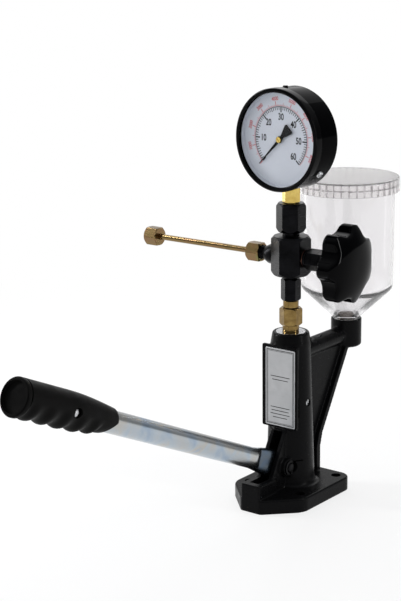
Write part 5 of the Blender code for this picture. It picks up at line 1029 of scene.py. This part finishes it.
# %% [markdown]
# The nameplate is satin aluminium with a printed double border and a few ruled lines. It's drawn flat
# and stood up against the panel. The print is thin raised faces, as on the dial.

# %% Nameplate
STAND_UP = Matrix.Translation((1.8 * MM, 0, 0)) @ Matrix.Rotation(QUARTER, 4, "X")
PLATE_BACK, PLATE_FACE, INK = 20.3, 21.0, 0.04
name_plate = plate([(-17.6, 77), (17.6, 77), (17.6, 157), (-17.6, 157)], PLATE_BACK, PLATE_FACE,
                   rounds=(1.2,) * 4)
piece("nameplate_blank", name_plate, plate_metal, "nameplate", matrix=STAND_UP, edge=0.12)


def frame_line(half, low, high, width):
    """Rectangular printed border, cut out of a thin plate."""
    outer = plate([(-half, low), (half, low), (half, high), (-half, high)], PLATE_FACE, PLATE_FACE + INK)
    inner = block((-half + width, low + width, PLATE_FACE - 1), (half - width, high - width, PLATE_FACE + 1))
    return carved(outer, [inner])


lines = [frame_line(16.3, 78.5, 155.5, 0.7), frame_line(15, 79.8, 154.2, 0.35)]
for height, half in ((128, 11.5), (124.5, 9.5), (96, 11.5), (92.5, 10.5), (89, 11.5), (85.5, 8.5)):
    lines.append(block((-half, height, PLATE_FACE), (half, height + 0.7, PLATE_FACE + INK)))
piece("nameplate_ruled_lines", together(lines), black_ink, matrix=STAND_UP,
      weighted=False)

# %% [markdown]
# ## Floor and surroundings
# The photograph is a product shot on white. A pale floor catches a faint shadow and fades to plain
# white with distance. The white is given to rays that come from the camera, through glass or off a
# glossy piece, so it shows but throws no light on the tool.

# %% Floor
FADE_START, FADE_END, NEAR_WHITE = 0.3, 1.0, 0.75    # metres from the pump, and white's share there
WHITE = linear("#ffffff")


def straight_rays(tree):
    """Light path's outputs, and a node that is 1 for rays from the camera or through glass."""
    path = add_node(tree, "LightPath").outputs
    kinds = {0: path["Is Camera Ray"], 1: path["Is Transmission Ray"]}
    return path, add_node(tree, "Math", kinds, operation="MAXIMUM")


stage_mesh = bmesh.new()
bmesh.ops.create_grid(stage_mesh, x_segments=1, y_segments=1, size=30)
floor = as_object("floor", stage_mesh)
pale, tree, shader, place = start_material("pale_floor", "#f2f2f2", 0.9, Specular_IOR_Level=0.0)
distance = add_node(tree, "VectorMath", {0: place}, operation="LENGTH").outputs["Value"]
fade = add_node(tree, "MapRange", {"Value": distance, "From Min": FADE_START, "From Max": FADE_END,
                                   "To Min": NEAR_WHITE}, interpolation_type="SMOOTHSTEP")
white = add_node(tree, "Emission", {"Color": WHITE, "Strength": 1.0})
path, straight = straight_rays(tree)
seen = add_node(tree, "Math", {0: straight, 1: path["Is Glossy Ray"]}, operation="MAXIMUM")
amount = add_node(tree, "Math", {0: seen, 1: fade}, operation="MULTIPLY")
add_node(tree, "MixShader", {0: amount, 1: tree.nodes["Principled BSDF"], 2: white},
         to=tree.nodes["Material Output"].inputs["Surface"])
floor.data.materials.append(pale)
print("floor: plain white from", FADE_END, "m on")

# %% [markdown]
# The world is a plain studio: dim at the level of the tool and brighter overhead, so upright black
# faces stay black and level ones get a soft sheen. Behind the tool it's nearly white, which glancing
# faces mirror. Camera and glass see plain white everywhere.

# %% World
AWAY = (-0.616, 0.788, 0.0)         # from the camera to the tool, on the level
world = bpy.data.worlds.new("studio")
bpy.context.scene.world = world
world.use_nodes = True
tree = world.node_tree
tree.nodes.clear()
direction = add_node(tree, "TexCoord").outputs["Generated"]
height = add_node(tree, "SeparateXYZ", {"Vector": direction}).outputs["Z"]
overhead = add_node(tree, "MapRange", {"Value": height, "From Min": 0.1, "From Max": 0.95, "To Min": 0.16,
                                       "To Max": 0.8}, interpolation_type="SMOOTHSTEP")
away = add_node(tree, "VectorMath", {0: direction, 1: AWAY}, operation="DOT_PRODUCT").outputs["Value"]
behind = add_node(tree, "MapRange", {"Value": away, "From Min": 0.3, "From Max": 0.9, "To Max": 0.6},
                  interpolation_type="SMOOTHSTEP")
seen = add_node(tree, "Math", {0: straight_rays(tree)[1], 1: behind}, operation="MAXIMUM")
soft_light = add_node(tree, "Background", {"Color": linear("#f6f8fb"), "Strength": overhead})
backdrop = add_node(tree, "Background", {"Color": WHITE, "Strength": 1.0})
mixed = add_node(tree, "MixShader", {0: seen, 1: soft_light, 2: backdrop})
add_node(tree, "OutputWorld", {"Surface": mixed})
print("world:", len(tree.nodes), "nodes")

# %% [markdown]
# ## Lamps
# Glossy black shows its lamps more than its own colour. The long thin streaks on the column, the
# bezel and the knob are the mirror images of tall narrow soft boxes, one at the left and a weaker one
# at the right. A small strip low on the left draws the knob's second streak, and a wide box behind
# lights the top edges.

# %% Four soft boxes
def soft_box(name, place, target_height, width, height, watts):
    """Rectangular area lamp that faces the pump's axis."""
    data = bpy.data.lights.new(name, "AREA")
    data.shape, data.size, data.size_y, data.energy = "RECTANGLE", width, height, watts
    made = bpy.data.objects.new(name, data)
    made.location = place
    made.rotation_mode = "QUATERNION"
    made.rotation_quaternion = (Vector((0, 0, target_height)) - Vector(place)).to_track_quat("-Z", "Y")
    bpy.context.scene.collection.objects.link(made)
    print(name, watts, "W")


soft_box("left_strip", (-1.42, -0.66, 0.9), 0.2, 0.12, 1.4, 20)
soft_box("right_strip", (1.5, 0.35, 0.8), 0.2, 0.1, 1.3, 8)
soft_box("low_left_strip", (-0.75, 0.12, 0.42), 0.42, 0.1, 0.78, 0.5)
soft_box("back_soft_box", (-0.6, 0.95, 1.05), 0.2, 1.6, 0.9, 6)

# %% [markdown]
# ## Camera
# The camera stands where the photograph was taken from. Its place and angles come from edges whose
# real position is known, such as the gauge's circle, the lid's ellipse and the base's outline. It
# looks down by 14 degrees from a metre and a half away, and it leans by less than a degree.

# %% Camera
CAMERA_PLACE = (0.8869, -1.2783, 0.5931)
AZIMUTH, PITCH, ROLL = math.radians(38.05), math.radians(14.1), math.radians(-0.65)
forward = Vector((-math.sin(AZIMUTH) * math.cos(PITCH), math.cos(AZIMUTH) * math.cos(PITCH),
                  -math.sin(PITCH)))
level = Vector((math.cos(AZIMUTH), math.sin(AZIMUTH), 0))
upward = level.cross(forward)
right = math.cos(ROLL) * level + math.sin(ROLL) * upward
upright = -math.sin(ROLL) * level + math.cos(ROLL) * upward
camera_data = bpy.data.cameras.new("camera")
camera_data.sensor_width, camera_data.lens = 36.0, 96.91
camera = bpy.data.objects.new("camera", camera_data)
camera.rotation_mode = "QUATERNION"
camera.rotation_quaternion = Matrix((right, upright, -forward)).transposed().to_quaternion()
camera.location = CAMERA_PLACE
bpy.context.scene.collection.objects.link(camera)
bpy.context.scene.camera = camera
bpy.context.scene.view_settings.view_transform = "Standard"
print("camera:", round(Vector(CAMERA_PLACE).length, 2), "m from the foot of the pump")
